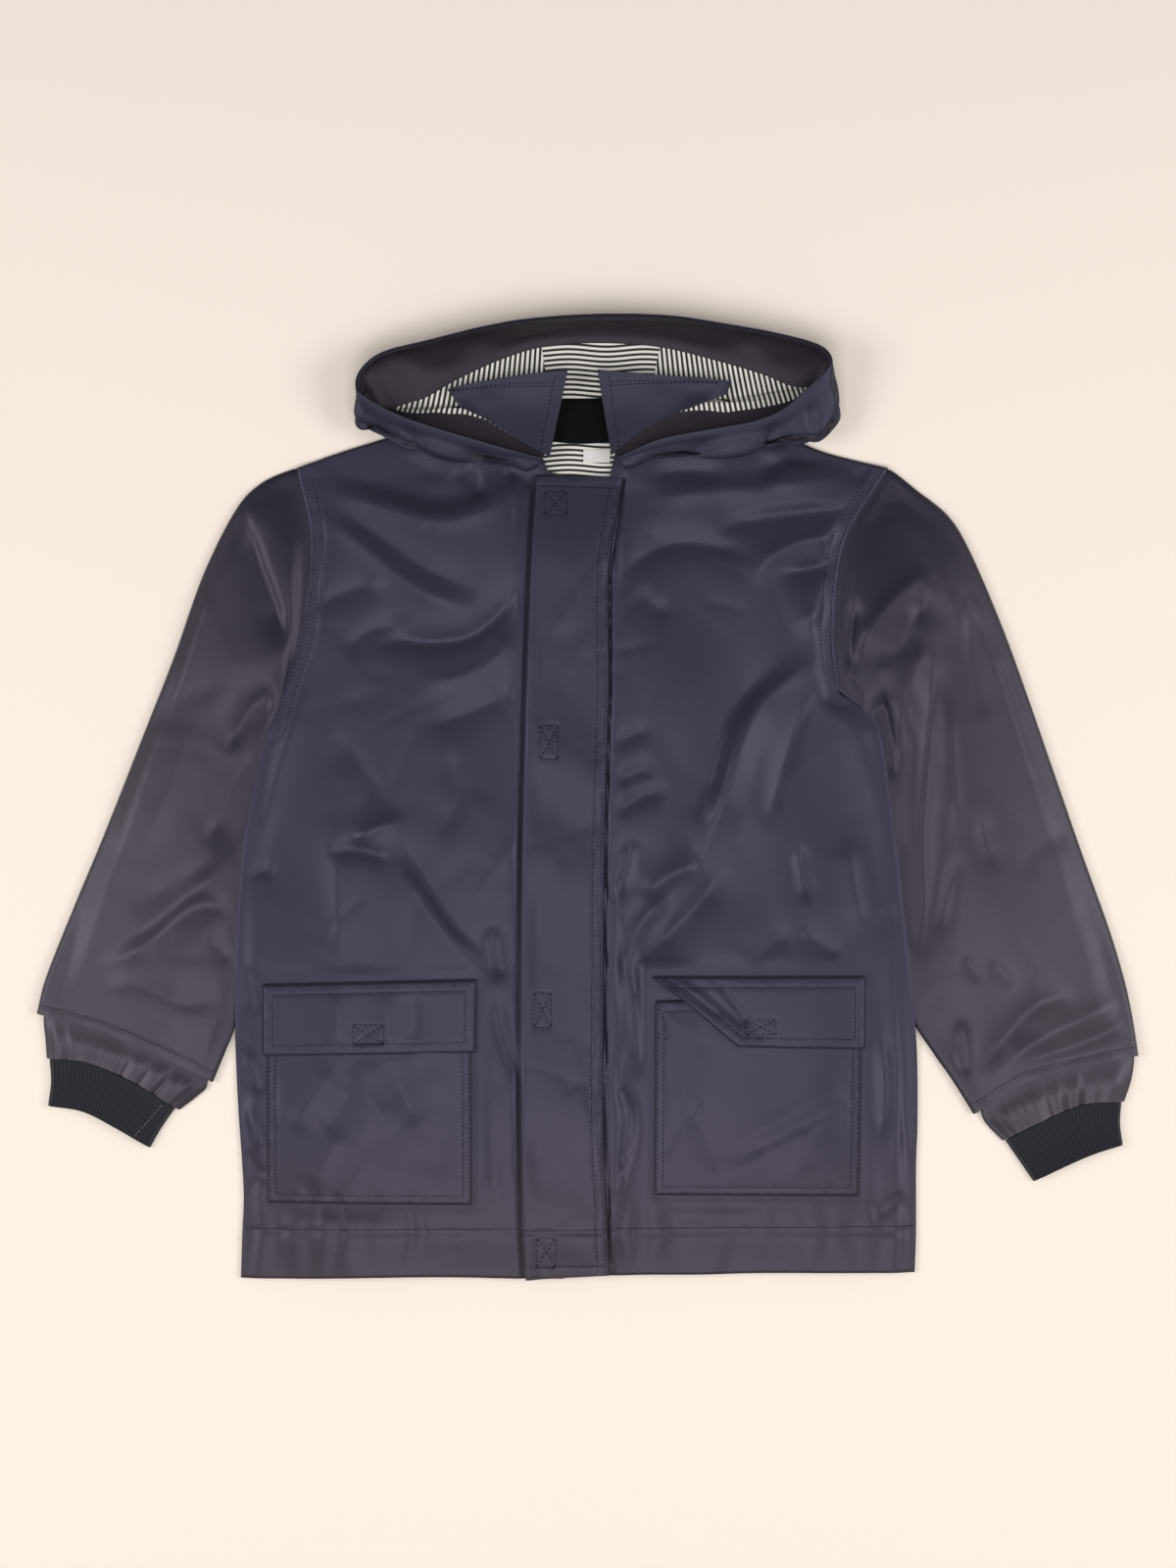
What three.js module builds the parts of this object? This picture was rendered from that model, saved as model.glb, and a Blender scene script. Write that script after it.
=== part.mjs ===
// A child's hooded raincoat laid flat on its back, its hood spread open above the neck.
// Millimetres: X to the picture's right, Y from the hem to the hood, Z up from the surface.
// The right side of the coat is the wearer's right, which lies at negative X.
import * as THREE from "three";

// Cloth and clearances
const CLOTH = 1.2; // one coated layer with its lining
const SLEEVE_CLOTH = 1.1;
const LINING = 1.0;
const CUFF_CLOTH = 1.0;
const PLACKET_CLOTH = 1.6;
const COLLAR_CLOTH = 1.4;
const HEM_TURN = 0.5; // what the turned-up hem adds inside
const SEAM = 0.3; // clearance between pieces that are sewn or laid together

// Body heights
const FRONT_UNDER = 4.8; // underside of the fronts over the hollow of the body
const FRONT_TOP = FRONT_UNDER + CLOTH;
const SLEEVE_EDGE = 3.0; // a sleeve pressed flat where the body's edge laps over it
const OVER_SLEEVE = SLEEVE_EDGE + SEAM;
const OVER_BACK = CLOTH + SEAM;
const SIDE_ROLL = 15; // width of the rounded edge of the fronts
const SHOULDER_ROLL = 20;
const NECK_CORNER = 30; // how near the neck the shoulder stays level
const FOLD_CLEAR = 8; // from the edges of a front to its folds
const ARMHOLE_LAP = 4; // how far a sleeve head reaches under the body
const HEAD_CLEAR = 6; // between the back and the sleeve heads at the shoulder
const HEAD_Y = 230; // above this the back ends beside a sleeve head
const BACK_CLEAR = 7; // between the back and the inner edges of the sleeves
const LAP_Y = -190; // from here up the fronts rise onto the sleeves
const LAP_RUN = 25;
const HEM_LINE_Y = -309;

// Sleeves and cuffs
const SLEEVE_HIGH = 6.0;
const SLEEVE_LOW = 2.7;
const SLEEVE_ROLL = 24; // width of the rounded outer edge of a sleeve
const INNER_ROLL = 20;
const INNER_FLAT = 10; // how far a sleeve stays pressed flat under the body
const SLEEVE_FOLD_CLEAR = 12;
const SLEEVE_FOLD_FADE = 14;
const EDGE_ROUND = 1; // width of the turned edge of a flattened tube
const THIN_EDGE = 0.2; // between the two layers at a pressed edge
const TUCKED_FLOOR = 1.4; // a gathered end where it rests inside its sleeve
const GATHERS = 6;
const GATHER_HEIGHT = 0.9;
const GATHER_SLIP = 0.8; // how unevenly the gathers follow each other
const GATHER_ROLL = 8;
const CUFF_ROLL = 12;
const RIBS = 31;
const RIB_HEIGHT = 0.5;

// Pockets, flaps and placket
const POCKET_FLOOR = FRONT_TOP + SEAM;
const POCKET_TOP = POCKET_FLOOR + CLOTH;
const FLAP_FLOOR = POCKET_TOP + SEAM;
const FLAP_LIFT = 3.0; // of the turned corner of the left flap
const FLAP_TURN_X = 110; // from here towards the placket the corner turns up
const FLAP_TURN_RUN = 45;
const FLAP_HINGE_Y = -128;
const FLAP_HINGE_RUN = 10;
const LABEL_CLOTH = 0.5;

// Colours
const SHELL_COLOUR = 0x46425a;
const SLEEVE_COLOUR = 0x4c4858;
const FACING_COLOUR = 0x32303e;
const RIB_COLOUR = 0x25252e;
const LINING_COLOUR = 0xa8a6a4;
const LABEL_COLOUR = 0xe9e7e2;

// Rows of numbers under named columns
function table(columns, rows) {
  const names = columns.split(" ");
  return rows.map((row) => Object.fromEntries(names.map((name, i) => [name, row[i]])));
}

// Outlines, from the hem up or from the wearer's right to the left
const SIDE_RIGHT = [[-248, -342], [-247, -309], [-246, -287], [-247, -262], [-250, -219], [-252, -171],
  [-252, -118], [-250, -66], [-244, -17], [-235, 24], [-227, 52]];
const ARMHOLE_RIGHT = [[-227, 52], [-204, 123], [-198, 186], [-208, 237]];
const SIDE_LEFT = [[234, -338], [235, -308], [235, -262], [236, -234], [236, -192], [234, -157],
  [230, -118], [225, -69], [220, -24], [215, 15], [208, 53], [196, 67], [180, 76]];
const ARMHOLE_LEFT = [[180, 76], [176, 123], [184, 185], [215, 237]];
const SHOULDER_RIGHT = [[-208, 237], [-178, 248], [-140, 260], [-112, 270], [-92, 278]];
const SHOULDER_LEFT = [[215, 237], [171, 248], [148, 258], [124, 271], [98, 283]];
const NECK_RIGHT = [[-92, 278], [-86, 277], [-72, 269], [-49, 256], [-33, 245], [-28, 235], [-17, 232]];
const NECK_LEFT = [[98, 283], [90, 283.5], [78, 281], [59, 273], [35, 260.5], [21, 249], [17, 236],
  [16, 232]];
const HEM_RIGHT = [[-248, -342], [-200, -342], [-150, -341], [-100, -341], [-50, -342], [-17, -342]];
const HEM_LEFT = [[234, -338], [180, -338], [130, -338], [80, -339], [40, -339], [-16, -341]];
const OPENING = [-16, 50]; // where the edges of the fronts part under the placket
const BACK_NECK = [[-92, 278], [-84, 279], [-61, 277], [-26, 274], [0, 273], [42, 276], [68, 280],
  [84, 284], [94, 284.5], [98, 283]];

// The areas that stay smooth under the pockets, the placket and the hood
const SMOOTH_AREAS = table("x1 x2 y1 y2", [
  [-238, -76, -292, -124],
  [42, 204, -288, -118],
  [-52, 30, -345, 235],
  [-100, 115, 225, 295],
]);
const SMOOTH_MARGIN = 8;
const SMOOTH_FADE = 14;

// Folds as straight soft troughs and ridges: two ends, half width and height
const FOLDS = table("x1 y1 x2 y2 width height", [
  [-187, 228, -138, 211, 12, -1.6],
  [-138, 211, -87, 204, 11, -1.8],
  [-87, 204, -66, 212, 9, -1.2],
  [-180, 195, -152, 182, 11, -1.4],
  [-152, 182, -123, 165, 12, -2.0],
  [-123, 165, -80, 139, 12, -1.6],
  [-140, 188, -101, 163, 12, 0.3],
  [-72, 120, -102, 98, 12, -1.4],
  [-145, -45, -126, -50, 9, -1.6],
  [-126, -50, -95, -94, 11, -1.5],
  [-145, -45, -160, 17, 12, -1.6],
  [-160, 17, -180, 53, 12, -1.2],
  [-243, -59, -223, -48, 9, -1.0],
  [132, 78, 105, 46, 12, -2.2],
  [105, 46, 96, 10, 12, -2.4],
  [96, 10, 84, -26, 12, -2.0],
  [96, -26, 84, -59, 12, -1.6],
  [84, -59, 61, -97, 11, -1.6],
  [155, 33, 132, -3, 11, -1.4],
  [149, -35, 155, -72, 11, -1.3],
  [159, -94, 194, -120, 10, -1.4],
  [51, 178, 70, 190, 11, -1.5],
  [70, 190, 105, 197, 12, -1.7],
  [105, 197, 145, 214, 12, -1.4],
  [70, 169, 125, 167, 12, -1.4],
  [125, 167, 168, 149, 12, -1.2],
  [240, 171, 236, 113, 10, -1.6],
  [236, 113, 215, 76, 11, -1.4],
  [238, 39, 236, -12, 12, -1.4],
  [236, -12, 248, -129, 12, -1.5],
  [323, -148, 304, -171, 11, -1.2],
  [-229, 174, -216, 111, 10, -1.4],
  [-216, 111, -239, 70, 10, -1.2],
  [-239, 8, -270, -42, 13, -1.6],
  [-270, -42, -315, -98, 13, -1.8],
  [-315, -98, -354, -118, 12, -1.4],
]);

// Sections across each sleeve, from the armhole to the hem: outer edge, two points, inner edge,
// the height pressed at both edges and the height of the middle
const SLEEVE_COLUMNS = "x1 y1 x2 y2 x3 y3 x4 y4 edge crown";
const SLEEVE_RIGHT = table(SLEEVE_COLUMNS, [
  [-204, 236, -194, 186, -200, 123, -222, 53, 3.0, 3.0],
  [-212, 236, -201, 185, -207, 121, -230, 49, 3.0, 3.2],
  [-234, 226, -217, 165, -217, 102, -231, 29, 3.0, 5.4],
  [-252, 207, -239, 137, -231, 74, -235, 1, 3.0, 6.0],
  [-275, 161, -261, 88, -247, 25, -239, -32, 3.0, 6.0],
  [-296, 102, -280, 39, -261, -17, -243, -69, 3.0, 6.0],
  [-318, 46, -301, -10, -278, -59, -246, -101, 3.0, 6.0],
  [-346, -25, -325, -66, -295, -101, -249, -131, 3.0, 6.0],
  [-366, -73, -343, -104, -308, -132, -252, -161, 3.2, 6.0],
  [-387, -126, -359, -141, -316, -162, -259, -180, 4.6, 6.0],
  [-394, -153, -352, -164, -309, -182, -268, -202, 5.0, 6.0],
]);
const SLEEVE_LEFT = table(SLEEVE_COLUMNS, [
  [211, 236, 180, 185, 172, 123, 175, 77, 3.0, 3.0],
  [218, 235, 187, 184, 179, 121, 183, 74, 3.0, 3.2],
  [236, 221, 203, 162, 195, 104, 192, 58, 3.0, 5.4],
  [258, 203, 225, 141, 210, 81, 202, 36, 3.0, 6.0],
  [273, 179, 243, 109, 223, 53, 208, 13, 3.0, 6.0],
  [293, 133, 264, 71, 238, 18, 212, -24, 3.0, 6.0],
  [310, 88, 282, 29, 252, -24, 216, -55, 3.0, 6.0],
  [336, 13, 303, -32, 263, -69, 220, -90, 3.0, 6.0],
  [354, -39, 322, -78, 277, -108, 225, -129, 3.0, 6.0],
  [373, -92, 338, -122, 289, -143, 232, -157, 3.2, 6.0],
  [384, -129, 347, -153, 296, -172, 247, -181, 4.2, 6.0],
  [390, -157, 352, -174, 306, -188, 261, -201, 4.8, 6.0],
  [394, -183, 354, -191, 315, -202, 276, -225, 5.0, 6.0],
]);

// Sections of the gathered ends and the rib cuffs, with their floor and how strongly they gather
const END_COLUMNS = "x1 y1 x2 y2 x3 y3 x4 y4 edge crown floor gather";
const GATHERED_RIGHT = table(END_COLUMNS, [
  [-385, -144, -351, -154, -309, -171, -274, -189, 3.6, 4.1, TUCKED_FLOOR, 0],
  [-389, -156, -351, -167, -308, -185, -272, -204, 3.6, 4.1, TUCKED_FLOOR, 0],
  [-388, -171, -354, -177, -315, -192, -279, -212, 3.2, 5.0, 0, 0.6],
  [-387, -185, -357, -188, -324, -202, -292, -222, 3.2, 4.8, 0, 1],
]);
const GATHERED_LEFT = table(END_COLUMNS, [
  [390, -174, 352, -182, 317, -193, 280, -211, 3.6, 4.1, TUCKED_FLOOR, 0],
  [391, -186, 353, -194, 317, -206, 282, -226, 3.6, 4.1, TUCKED_FLOOR, 0],
  [389, -201, 352, -206, 317, -218, 287, -234, 3.2, 5.0, 0, 0.6],
  [384, -216, 353, -218, 322, -231, 297, -244, 3.2, 4.8, 0, 1],
]);
const RIB_RIGHT = table(END_COLUMNS, [
  [-385, -185.5, -357, -188.5, -324.3, -202.6, -295, -220.5, 3.4, 4.6, 0, 0],
  [-384, -202, -360, -206, -331, -220, -305, -235, 3.4, 4.6, 0, 0],
  [-386, -219, -361, -223, -337, -235, -313, -249, 3.4, 4.4, 0, 0],
]);
const RIB_LEFT = table(END_COLUMNS, [
  [382, -216.6, 353, -218.6, 322.3, -231.6, 299, -244, 3.4, 4.6, 0, 0],
  [381, -232, 356, -235, 328, -247, 308, -257, 3.4, 4.6, 0, 0],
  [383, -247, 363, -253, 342, -262, 319, -273, 3.4, 4.4, 0, 0],
]);

// Placket and pockets
const PLACKET_RIGHT_EDGE = [[-44, -343], [-46, -299], [-47, -200], [-47, -143], [-46, -26], [-44, 50],
  [-42, 115], [-39, 187], [-36, 232]];
const PLACKET_LEFT_EDGE = [[17, -339], [14, -290], [12, -233], [12, -143], [13, -26], [16, 81],
  [16, 164], [26, 230]];
const POCKET_CORNERS = table("node x1 y1 x2 y2 x3 y3 x4 y4", [
  ["pocket_right", -229, -288, -82, -289, -83, -134, -229, -136],
  ["pocket_left", 47, -282, 194, -283, 196, -141, 48, -143],
]);
const FLAP_RIGHT = { top: [[-232, -132], [-79, -128]], bottom: [[-232, -183], [-80, -180]] };
const FLAP_LEFT = {
  top: [[45, -126], [198, -126]],
  bottom: [[56, -135], [68, -143], [88, -160], [107, -176], [150, -177], [198, -178]],
};

// Stations round the hood opening, from the wearer's right throat over the back to the left throat:
// the neck seam, the inner edge of the facing, the bulge of the side and the rim
const HOOD_COLUMNS = "xn yn zn xf yf zf xq yq zq xr yr zr";
const HOOD = table(HOOD_COLUMNS, [
  [-30, 247, 8.4, -32, 245, 9.0, -36, 238, 11, -32, 243, 15],
  [-50, 257, 8.0, -51, 253, 8.8, -54, 237, 13, -53, 248, 20],
  [-72, 271, 7.9, -76, 265, 8.8, -84, 239, 15, -79, 255, 24],
  [-87, 278, 7.9, -101, 275, 9.5, -114, 246, 17, -107, 263, 27],
  [-95, 278, 7.2, -122, 275, 9.5, -141, 255, 18, -133, 272, 28],
  [-99, 278.5, 5.2, -136, 277, 7, -161, 265, 18, -156, 284, 29],
  [-98, 280, 3.4, -139, 279, 4.2, -163, 286, 16, -163, 293, 28],
  [-92, 281, 1.9, -131, 283, 2.2, -158, 301, 14, -159, 305, 28],
  [-78, 280, 1.4, -116, 288, 1.5, -141, 314, 14, -144, 316, 29],
  [-61, 278, 1.4, -95, 300, 1.5, -109, 320, 14, -112, 324, 31],
  [-44, 276.5, 1.4, -65, 314, 1.5, -72, 329, 14, -74, 333, 34],
  [-26, 275, 1.4, -33, 324, 1.5, -38, 335, 14, -40, 338.5, 36],
  [0, 274, 1.4, 7, 327, 1.5, 7, 337, 14, 9, 341.5, 37],
  [42, 277, 1.4, 52, 324, 1.5, 56, 336, 14, 58, 340.5, 36],
  [68, 281, 1.4, 90, 315, 1.5, 97, 331, 14, 98, 335, 33],
  [84, 285, 1.4, 124, 305, 1.5, 133, 325, 14, 133, 329, 31],
  [96, 286.5, 1.9, 146, 296, 1.8, 166, 315, 14, 163, 321, 29],
  [101, 285.5, 3.2, 159, 294, 2.4, 174, 295, 14, 172, 311, 29],
  [103, 284, 5.0, 156, 291, 5.0, 180, 270, 15, 167, 302, 29],
  [101, 282.5, 7.0, 145, 284, 8.6, 166, 256, 18, 153, 289, 29],
  [93, 283, 7.8, 123, 279, 9.5, 140, 251, 18, 138, 276, 28],
  [78, 282.5, 7.9, 101, 276, 9.2, 119, 248, 17, 118, 268, 27],
  [59, 275.5, 7.9, 70, 270, 8.9, 90, 244, 16, 90, 263, 25],
  [35, 263, 8.0, 43, 258, 8.8, 54, 242, 14, 52, 256, 21],
  [18, 248, 8.4, 21, 246, 9.0, 26, 239, 11, 22, 244, 15],
]);
const CENTRE_SEAMS = [11, 13]; // stations of the seams of the hood's centre panel
const CENTRE_GAP = 0.006; // half the gap at those seams, in stations
const FACING_GAP = 0.004; // half the gap between lining and facing, as a share
const FACING_EDGE = 1 / 3; // share of the way from the neck to the rim where the facing starts
const NORMAL_STEP = 0.4; // stations either side from which the hood's direction outward is taken
const NORMAL_SHARE = 0.06;
const SKIN_GAP = 0.25; // from the middle surface to the outer panels and to the lining
const COLLAR_STEP = 0.004; // along the collar, for its direction outward

// Stations along the collar ring: its base in the neck seam and its free edge
const COLLAR = table("xb yb zb xt yt zt", [
  [-25, 248, 9.8, -14, 306, 16],
  [-47, 261, 9.6, -42, 303, 15],
  [-68, 274, 9.6, -70, 299, 13],
  [-82, 281, 9.6, -90, 296, 12],
  [-90, 286, 7.4, -99, 294, 9],
  [-85, 283.5, 4.6, -93, 290, 5.4],
  [-66, 270, 3.6, -70, 288, 4.0],
  [-35, 258, 3.5, -35, 287, 3.8],
  [0, 254.5, 3.5, 0, 287, 3.8],
  [35, 260, 3.5, 35, 288, 3.8],
  [68, 272, 3.5, 74, 290, 3.9],
  [83, 283, 4.0, 90, 292, 4.4],
  [92, 291.5, 5.4, 98, 299, 6.4],
  [94, 294.5, 7.4, 101, 301, 9.5],
  [88, 292.5, 9.6, 96, 301, 12],
  [76, 286.5, 9.6, 77, 301, 13],
  [57, 278.5, 9.6, 55, 302, 14],
  [34, 265.5, 9.6, 32, 304, 15],
  [14, 248.5, 9.8, 7, 306, 16],
]);
const NECK_LINING = { x1: -32, x2: 22, y1: 222, y2: 271 };
const LABEL = { x1: -3, x2: 16, y1: 241, y2: 250 };

// Small sums
const lerp = (a, b, t) => a + (b - a) * t;
const clamp = (x, low, high) => Math.min(high, Math.max(low, x));
const point = (x, y, z = 0) => new THREE.Vector3(x, y, z);
const smooth = (t) => {
  const c = clamp(t, 0, 1);
  return c * c * (3 - 2 * c);
};

// A smooth curve through points of a table
function curve(points) {
  return new THREE.CatmullRomCurve3(points.map(([x, y, z]) => point(x, y, z || 0)), false, "centripetal");
}

// Straight pieces joined end to end, with the corner between two outlines kept sharp
function joined(...outlines) {
  const path = new THREE.CurvePath();
  for (const outline of outlines) path.add(curve(outline));
  return path;
}

// Even steps from 0 to 1, or finer ones between given stops
function steps(stops, counts) {
  const made = [stops[0]];
  counts.forEach((count, i) => {
    for (let k = 1; k <= count; k++) made.push(lerp(stops[i], stops[i + 1], k / count));
  });
  return made;
}
const even = (count) => steps([0, 1], [count]);

// Distance in plan from a point to a straight line between two ends
function distanceTo(x, y, x1, y1, x2, y2) {
  const dx = x2 - x1;
  const dy = y2 - y1;
  const t = clamp(((x - x1) * dx + (y - y1) * dy) / (dx * dx + dy * dy), 0, 1);
  return Math.hypot(x - x1 - t * dx, y - y1 - t * dy);
}

// Distance in plan from a point to an outline
function distanceToOutline(x, y, outline) {
  let nearest = Infinity;
  for (let i = 1; i < outline.length; i++)
    nearest = Math.min(nearest, distanceTo(x, y, ...outline[i - 1], ...outline[i]));
  return nearest;
}

// How much of the folds shows at a point: none in the smooth areas, all well outside them
function foldShare(x, y) {
  return SMOOTH_AREAS.reduce((share, area) => {
    const dx = Math.max(area.x1 - x, x - area.x2, 0);
    const dy = Math.max(area.y1 - y, y - area.y2, 0);
    return Math.min(share, smooth((Math.hypot(dx, dy) - SMOOTH_MARGIN) / SMOOTH_FADE));
  }, 1);
}

// The height that the folds add at a point
function folds(x, y) {
  return FOLDS.reduce((sum, fold) => {
    const across = distanceTo(x, y, fold.x1, fold.y1, fold.x2, fold.y2) / fold.width;
    return sum + fold.height * Math.exp(-across * across);
  }, 0);
}

// A net of points over a four-sided outline: rows from bottom to top, each from the left to the right
function patch(bottom, top, left, right, columns, rows) {
  const at = (path, t) => path.getPointAt(t);
  const corner = [at(bottom, 0), at(bottom, 1), at(top, 0), at(top, 1)];
  return rows.map((v) =>
    columns.map((u) => {
      const a = at(bottom, u).lerp(at(top, u), v);
      const b = at(left, v).lerp(at(right, v), u);
      const low = corner[0].clone().lerp(corner[1], u);
      const high = corner[2].clone().lerp(corner[3], u);
      return a.add(b).sub(low.lerp(high, v));
    }),
  );
}

// Named meshes
const coat = new THREE.Group();
function addPiece(name, positions, faces, colour, roughness) {
  const geometry = new THREE.BufferGeometry();
  const flat = positions.flatMap((p) => [p.x, p.y, p.z]);
  const turned = signedVolume(positions, faces) < 0 ? faces.map(([a, b, c]) => [a, c, b]) : faces;
  geometry.setAttribute("position", new THREE.Float32BufferAttribute(flat, 3));
  geometry.setIndex(turned.flat());
  geometry.computeVertexNormals();
  const material = new THREE.MeshStandardMaterial({ color: colour, roughness, metalness: 0 });
  const mesh = new THREE.Mesh(geometry, material);
  mesh.name = name;
  coat.add(mesh);
}

function signedVolume(positions, faces) {
  return faces.reduce((sum, [a, b, c]) => {
    const cross = positions[b].clone().cross(positions[c]);
    return sum + positions[a].dot(cross);
  }, 0);
}

// Two triangles for a four-sided face
const quad = (a, b, c, d) => [[a, b, c], [a, c, d]];

// A closed wall between two nets of the same size
function wall(upper, under) {
  const rows = upper.length;
  const columns = upper[0].length;
  const positions = [...upper.flat(), ...under.flat()];
  const up = (i, j) => j * columns + i;
  const down = (i, j) => rows * columns + j * columns + i;
  const faces = [];
  for (let j = 0; j + 1 < rows; j++)
    for (let i = 0; i + 1 < columns; i++) {
      faces.push(...quad(up(i, j), up(i + 1, j), up(i + 1, j + 1), up(i, j + 1)));
      faces.push(...quad(down(i, j), down(i, j + 1), down(i + 1, j + 1), down(i + 1, j)));
    }
  const end = rows - 1;
  for (let i = 0; i + 1 < columns; i++) {
    faces.push(...quad(up(i, 0), down(i, 0), down(i + 1, 0), up(i + 1, 0)));
    faces.push(...quad(up(i, end), up(i + 1, end), down(i + 1, end), down(i, end)));
  }
  const side = columns - 1;
  for (let j = 0; j + 1 < rows; j++) {
    faces.push(...quad(up(0, j), up(0, j + 1), down(0, j + 1), down(0, j)));
    faces.push(...quad(up(side, j), down(side, j), down(side, j + 1), up(side, j + 1)));
  }
  return { positions, faces };
}

// A closed wall between nested rings, open at both ends
function tube(outer, inner) {
  const count = outer[0].length;
  const rows = outer.length;
  const positions = [...outer.flat(), ...inner.flat()];
  const out = (i, j) => j * count + (i % count);
  const inn = (i, j) => rows * count + j * count + (i % count);
  const end = rows - 1;
  const faces = [];
  for (let i = 0; i < count; i++) {
    for (let j = 0; j + 1 < rows; j++) {
      faces.push(...quad(out(i, j), out(i + 1, j), out(i + 1, j + 1), out(i, j + 1)));
      faces.push(...quad(inn(i, j), inn(i, j + 1), inn(i + 1, j + 1), inn(i + 1, j)));
    }
    faces.push(...quad(out(i, 0), inn(i, 0), inn(i + 1, 0), out(i + 1, 0)));
    faces.push(...quad(out(i, end), out(i + 1, end), inn(i + 1, end), inn(i, end)));
  }
  return { positions, faces };
}

// Where the underside of a front lies: low at its rolled edges, level over the hollow of the body
function frontUnder(x, y, side, armhole, shoulder) {
  const toArmhole = distanceToOutline(x, y, armhole);
  const toSide = Math.min(distanceToOutline(x, y, side), toArmhole);
  const toShoulder = distanceToOutline(x, y, shoulder);
  const lapped = smooth((y - LAP_Y) / LAP_RUN);
  const sideEdge = lerp(OVER_BACK, OVER_SLEEVE, lapped);
  const pastHead = smooth((toArmhole - ARMHOLE_LAP) / SHOULDER_ROLL);
  const shoulderEdge = lerp(OVER_SLEEVE, OVER_BACK, pastHead);
  const fromSide = (FRONT_UNDER - sideEdge) * (1 - smooth(toSide / SIDE_ROLL));
  const fromShoulder = (FRONT_UNDER - shoulderEdge) * (1 - smooth(toShoulder / SHOULDER_ROLL));
  const inside = smooth((Math.min(toSide, toShoulder) - FOLD_CLEAR) / SIDE_ROLL);
  const fromNeck = Math.hypot(x - shoulder.at(-1)[0], y - shoulder.at(-1)[1]);
  const awayFromNeck = smooth(fromNeck / NECK_CORNER - 0.4);
  const level = FRONT_UNDER - Math.max(fromSide, fromShoulder * awayFromNeck);
  return Math.max(OVER_BACK, level + folds(x, y) * foldShare(x, y) * inside);
}

// A front from its side edge to the middle of the coat
function addFront(name, outline, columns) {
  const { hem, side, armhole, shoulder, neck, centre } = outline;
  const rows = steps([0, 0.057, 0.12, 0.62, 0.74, 1], [2, 2, 12, 5, 8]);
  const net = patch(joined(hem), joined(shoulder, neck), joined(side, armhole), joined(...centre),
    columns, rows);
  const underAt = (p) => point(p.x, p.y, frontUnder(p.x, p.y, side, armhole, shoulder));
  const under = net.map((row) => row.map(underAt));
  const upper = under.map((row) => row.map((p) => point(p.x, p.y, p.z + CLOTH)));
  for (const p of under.flat())
    if (p.y < HEM_LINE_Y + 1) p.z = Math.max(OVER_BACK, p.z - HEM_TURN);
  const made = wall(upper, under);
  addPiece(name, made.positions, made.faces, SHELL_COLOUR, 0.45);
}

// A sleeve's inner edge and head as one line from the hem up
function sleeveLine(rows) {
  const [head, ...below] = rows;
  const across = [4, 3, 2, 1].map((k) => [head["x" + k], head["y" + k]]);
  return [...below.map((section) => [section.x4, section.y4]).reverse(), ...across];
}

// Where a line lies at a height up the coat, or what is given where it doesn't reach
function lineAt(line, y, otherwise) {
  const i = line.findIndex((p, k) => k > 0 && y <= p[1] && y >= line[k - 1][1]);
  if (i < 0) return otherwise;
  const [x1, y1] = line[i - 1];
  const [x2, y2] = line[i];
  return lerp(x1, x2, (y - y1) / (y2 - y1));
}

// The back, kept clear of the sleeves where they lie under the body
function addBack() {
  const right = sleeveLine(SLEEVE_RIGHT);
  const left = sleeveLine(SLEEVE_LEFT);
  const hem = [...HEM_RIGHT, ...HEM_LEFT.slice(0, -1).reverse()];
  const top = joined(SHOULDER_RIGHT, BACK_NECK, [...SHOULDER_LEFT].reverse());
  const net = patch(joined(hem), top, joined(SIDE_RIGHT, ARMHOLE_RIGHT), joined(SIDE_LEFT, ARMHOLE_LEFT),
    even(16), even(24));
  for (const row of net) {
    const first = row[0];
    const last = row.at(-1);
    const moveFirst = Math.max(0, lineAt(right, first.y, -Infinity) + BACK_CLEAR - first.x);
    const moveLast = Math.min(0, lineAt(left, last.y, Infinity) - BACK_CLEAR - last.x);
    row.forEach((p, i) => (p.x += lerp(moveFirst, moveLast, i / (row.length - 1))));
    if (first.y > HEAD_Y) first.x = Math.max(first.x, SHOULDER_RIGHT[0][0] + HEAD_CLEAR);
    if (last.y > HEAD_Y) last.x = Math.min(last.x, SHOULDER_LEFT[0][0] - HEAD_CLEAR);
  }
  const upper = net.map((row) => row.map((p) => point(p.x, p.y, CLOTH)));
  const under = net.map((row) => row.map((p) => point(p.x, p.y, 0)));
  const made = wall(upper, under);
  addPiece("back", made.positions, made.faces, SHELL_COLOUR, 0.5);
}

// A ring of a flattened tube: over the top from the outer edge to the inner one and back below
function ring(section, inset, topCount, lowCount, heightAt) {
  const across = curve([1, 2, 3, 4].map((k) => [section["x" + k], section["y" + k]]));
  const width = across.getLength();
  const floor = section.floor || 0;
  const at = (t, z) => {
    const p = across.getPointAt(clamp(t, 0, 1));
    return point(p.x, p.y, z);
  };
  const edge = inset / width;
  const shoulder = (inset + EDGE_ROUND) / width;
  const drop = Math.min(inset, section.edge / 2 - THIN_EDGE);
  const middle = floor + (section.edge - floor) / 2;
  const made = [at(edge, middle)];
  for (let k = 0; k <= topCount; k++) {
    const t = lerp(shoulder, 1 - shoulder, k / topCount);
    const p = at(t, 0);
    p.z = heightAt(p, t, width, k) - drop;
    made.push(p);
  }
  made.push(at(1 - edge, middle));
  for (let k = 0; k <= lowCount; k++)
    made.push(at(lerp(1 - shoulder, shoulder, k / lowCount), floor + inset));
  return made;
}

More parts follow.
